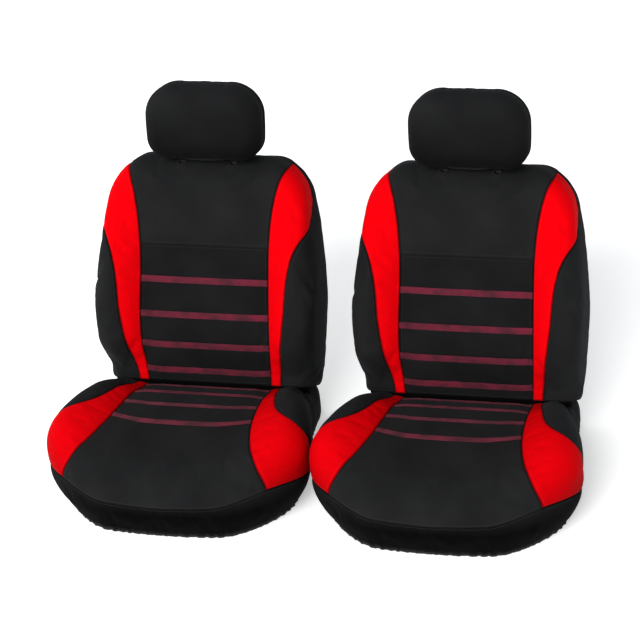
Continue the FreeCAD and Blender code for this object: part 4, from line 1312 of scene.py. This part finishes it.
def post_binding(way, cut):
    """Gathered elastic ring round a post hole, lying on the cloth."""
    turn = np.linspace(0, FULL_TURN, 96, endpoint=False)
    outward = np.cos(turn)[:, None] * (1.0, 0, 0) + np.sin(turn)[:, None] * BACK_REARWARD
    radius = POST_HOLE + POST_BINDING / 2 + 0.3
    height, flat = from_post(cut["outer"].reshape(-1, 3), way)
    nearby = np.abs(height) < POST_REACH
    gaps = np.linalg.norm(flat[nearby][None] - outward[:, None] * radius, axis=-1)
    weight = 1 / (gaps ** 4 + 1.0)
    rise = (weight * height[nearby]).sum(1) / weight.sum(1)
    rise = sum(np.roll(rise, k) for k in range(-6, 7)) / 13
    centres = post_centre(way) + outward * radius + (rise - 0.2)[:, None] * BACK_UP
    swell = 1 - 0.09 * (1 + np.sin(turn * 16 + np.sin(turn * 3)))
    up = directions(len(turn), BACK_UP)[0]
    section = oval(POST_BINDING / 2 + 0.7, 2.0, 12, 2.2)
    return [sweep(centres, outward, up, section, swell, closed=True)]


def strap(start, end, free_end):
    """Flat webbing under the cushion, sagging a little, its sewn end folded double."""
    y = np.linspace(start, end, 90)
    share = (y - start) / (end - start)
    sag = 1.6 * np.sin(math.pi * share) ** 2
    centres = np.stack([0.5 * np.sin(y / 70) * sag, y, STRAP_Z + STRAP_THICK / 2 - sag], 1)
    across, up = directions(len(y), (1, 0, 0), (0, 0, 1))
    edge = 1 + 0.012 * np.sin(y / 3.1)
    wide, narrow = (oval(STRAP_WIDTH / 2 - slack, STRAP_THICK / 2, 24, 5.0) for slack in (0.3, 0.6))
    fold = np.abs(y - free_end) < STRAP_FOLD
    low = centres[fold] - (0, 0, STRAP_THICK)
    return [sweep(centres, across, up, wide, edge), sweep(low, across[fold], up[fold], narrow)]


def add_strap(prefix, side, name, start, end, free_end):
    piece = trim(prefix, side, name, strap(start, end, free_end), "webbing", "cushion_cover")


def block(centre, size):
    """A box as points and faces, to be joined to or cut from moulded plastic."""
    corners = np.array([(i, j, k) for i in (-1, 1) for j in (-1, 1) for k in (-1, 1)]) / 2
    faces = np.array([(0, 1, 3, 2), (4, 6, 7, 5), (0, 4, 5, 1), (2, 3, 7, 6), (0, 2, 6, 4),
                      (1, 5, 7, 3)])
    return corners * size + centre, [faces]


def moulded(name, side, solids, cuts):
    """Plastic part: blocks joined and cut, every edge rounded."""
    made = []
    for centre, size in solids + cuts:
        points, faces = block(np.array(centre, float), np.array(size, float))
        made.append(add_mesh(name, place_in_row(points, side), faces, ["plastic"]))
    base = made[0]
    for k, tool in enumerate(made[1:], 1):
        operation = "UNION" if k < len(solids) else "DIFFERENCE"
        set_all(base.modifiers.new("shape", "BOOLEAN"), operation=operation, object=tool)
    set_all(base.modifiers.new("rounding", "BEVEL"), width=BUCKLE_ROUNDING * MM, segments=3,
            limit_method="ANGLE", angle_limit=math.radians(40))
    settled = base.evaluated_get(bpy.context.evaluated_depsgraph_get())
    mesh = bpy.data.meshes.new_from_object(settled)
    piece = bpy.data.objects.new(name, mesh)
    bpy.context.scene.collection.objects.link(piece)
    for item in made:
        bpy.data.objects.remove(item)
    mesh.polygons.foreach_set("use_smooth", np.ones(len(mesh.polygons), bool))
    set_all(piece.modifiers.new("flat_faces", "WEIGHTED_NORMAL"), keep_sharp=True)
    return piece


def add_buckle(prefix, side):
    """Side-release buckle: socket on the cushion cover, prong half drawn out of it."""
    z = STRAP_Z + STRAP_THICK / 2
    play = 2 * BUCKLE_PLAY
    middle = BUCKLE_Y + BUCKLE_LENGTH / 2
    ribs = [((0, BUCKLE_Y + 12 + 3 * k, z - BUCKLE_HEIGHT / 2), (18, 1.2, 0.9)) for k in range(4)]
    cavity = ((0, BUCKLE_Y + (PRONG_LENGTH + 1) / 2 - 1, z),
              (PRONG_WIDTH + play, PRONG_LENGTH + 2, PRONG_HEIGHT + play))
    waists = [((way * (BUCKLE_WIDTH / 2 + 0.4), BUCKLE_Y + 9, z), (3, 9, BUCKLE_HEIGHT + 1))
              for way in (-1, 1)]
    shell = ((0, middle, z), (BUCKLE_WIDTH, BUCKLE_LENGTH, BUCKLE_HEIGHT))
    socket = moulded(prefix + "buckle_socket", side, [shell] + ribs, [cavity] + waists)
    top = BUCKLE_Y - BUCKLE_PLAY
    body = ((0, top - PRONG_BODY / 2, z), (BUCKLE_WIDTH, PRONG_BODY, BUCKLE_HEIGHT))
    prong = ((0, top + PRONG_LENGTH / 2 - 0.5, z), (PRONG_WIDTH, PRONG_LENGTH + 1, PRONG_HEIGHT))
    channel = ((0, top - PRONG_BODY + 11.5, z), (STRAP_WIDTH + play, 25, STRAP_THICK + play))
    springs = [((way * PRONG_WIDTH / 4, top + PRONG_LENGTH / 2 + 2, z), (2.2, PRONG_LENGTH, 9))
               for way in (-1, 1)]
    plug = moulded(prefix + "buckle_prong", side, [body, prong], [channel] + springs)
    for piece, node, body_name in ((socket, "buckle_socket_half", "cushion_cover"),
                                   (plug, "buckle_prong_half", "buckle_prong")):
        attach(piece, prefix + body_name)
        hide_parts(prefix + node)


def stitch_lines(cut):
    """Places and normals along the stitch row inside every edge of a panel."""
    inside = slice(STITCH_ROW, -STITCH_ROW)
    rows = [(STITCH_ROW, inside), (-1 - STITCH_ROW, inside)]
    rows += [(column, row) for row, column in rows]
    return [(cut["outer"][row], cut["normal"][row]) for row in rows]


THREAD_FORM = ((-1.0, 0.16, -0.12), (-0.6, 0.36, 0.12), (0.6, 0.36, 0.12), (1.0, 0.16, -0.12))


def stitches(line_points, line_normals):
    """Short thread floats along a line: thick in the middle, their ends sunk in the cloth."""
    lengths = run_lengths(line_points)
    at = np.arange(STITCH_PITCH, lengths[-1] - STITCH_PITCH, STITCH_PITCH)
    if len(at) == 0:
        return None

    def read(values, places):
        return np.stack([np.interp(places, lengths, values[:, k]) for k in range(3)], -1)

    along = unit(read(line_points, at + 0.5) - read(line_points, at - 0.5))
    up = unit(read(line_normals, at))
    across = np.cross(up, along)
    turn = np.linspace(0, FULL_TURN, THREAD_SIDES, endpoint=False)
    ring = across[:, None] * np.cos(turn)[:, None] + up[:, None] * np.sin(turn)[:, None]
    rings = []
    for reach, radius, lift in THREAD_FORM:
        centre = read(line_points, at + reach * STITCH_LENGTH / 2) + up * lift
        rings.append(centre[:, None] + ring * radius)
    faces = grid_faces(len(rings), THREAD_SIDES, closed_columns=True)
    first = np.arange(THREAD_SIDES)
    ends = np.stack([first[::-1], (len(rings) - 1) * THREAD_SIDES + first])
    starts = np.arange(len(at))[:, None, None] * len(rings) * THREAD_SIDES
    groups = [(faces + starts).reshape(-1, 4), (ends + starts).reshape(-1, THREAD_SIDES)]
    return np.stack(rings, 1).reshape(-1, 3), groups


def add_topstitching(prefix, side, cuts, panels):
    """Rows of stitches inside every seam, in thread of the cloth's own colour."""
    for cover, body in BODIES.items():
        for thread in ("black_thread", "red_thread"):
            rows = [row for name, cut in cuts.items()
                    if cover_of(name) == cover and SLOTS[panels[name].cloth] == SLOTS[thread]
                    for row in stitch_lines(cut)]
            made = [sewn for sewn in (stitches(*row) for row in rows) if sewn]
            if made:
                parts = [(points, faces, np.zeros((len(points), 3))) for points, faces in made]
                trim(prefix, side, cover + "_topstitch", parts, thread, body, replaces=False)


def add_trims(prefix, side, cuts, panels):
    add_tapes(prefix, side, "back_stripes", cuts["back_ribbed_panel"])
    add_tapes(prefix, side, "seat_stripes", cuts["seat_center_panel"])
    add_flap(prefix, side)
    elastics = {"seat_hem_elastic": seat_hem(), "back_hem_elastic": back_hem(),
                "head_hem_elastic": slot_hem()}
    for way, label in ((-1, "left"), (1, "right")):
        elastics["back_post_binding_" + label] = post_binding(way, cuts["back_center_panel"])
    for name, parts in elastics.items():
        trim(prefix, side, name, parts, "elastic", BODIES[cover_of(name)])
    front_end = BUCKLE_Y - BUCKLE_PLAY - PRONG_BODY + STRAP_TAIL
    add_strap(prefix, side, "seat_strap_front", STRAP_FRONT, front_end, STRAP_FRONT)
    add_strap(prefix, side, "seat_strap_rear", BUCKLE_Y + BUCKLE_LENGTH + 0.7, STRAP_REAR, STRAP_REAR)
    add_buckle(prefix, side)
    add_topstitching(prefix, side, cuts, panels)


# ---- Build
add_camera()
add_studio()

panels = all_panels()
drifts = simulate(panels)
cuts = {name: tailor(name, panel, drifts[name]) for name, panel in panels.items()}
for side, prefix in SIDES:
    for name, panel in panels.items():
        cloth_piece(prefix, side, name, panel, cuts[name])
    add_trims(prefix, side, cuts, panels)

FLOOR_HALF = 9.0
corners = np.array([(x, y, 0.0) for x in (-FLOOR_HALF, FLOOR_HALF) for y in (-FLOOR_HALF, FLOOR_HALF)])
floor = add_mesh("floor", corners, [grid_faces(2, 2)], ["floor"])
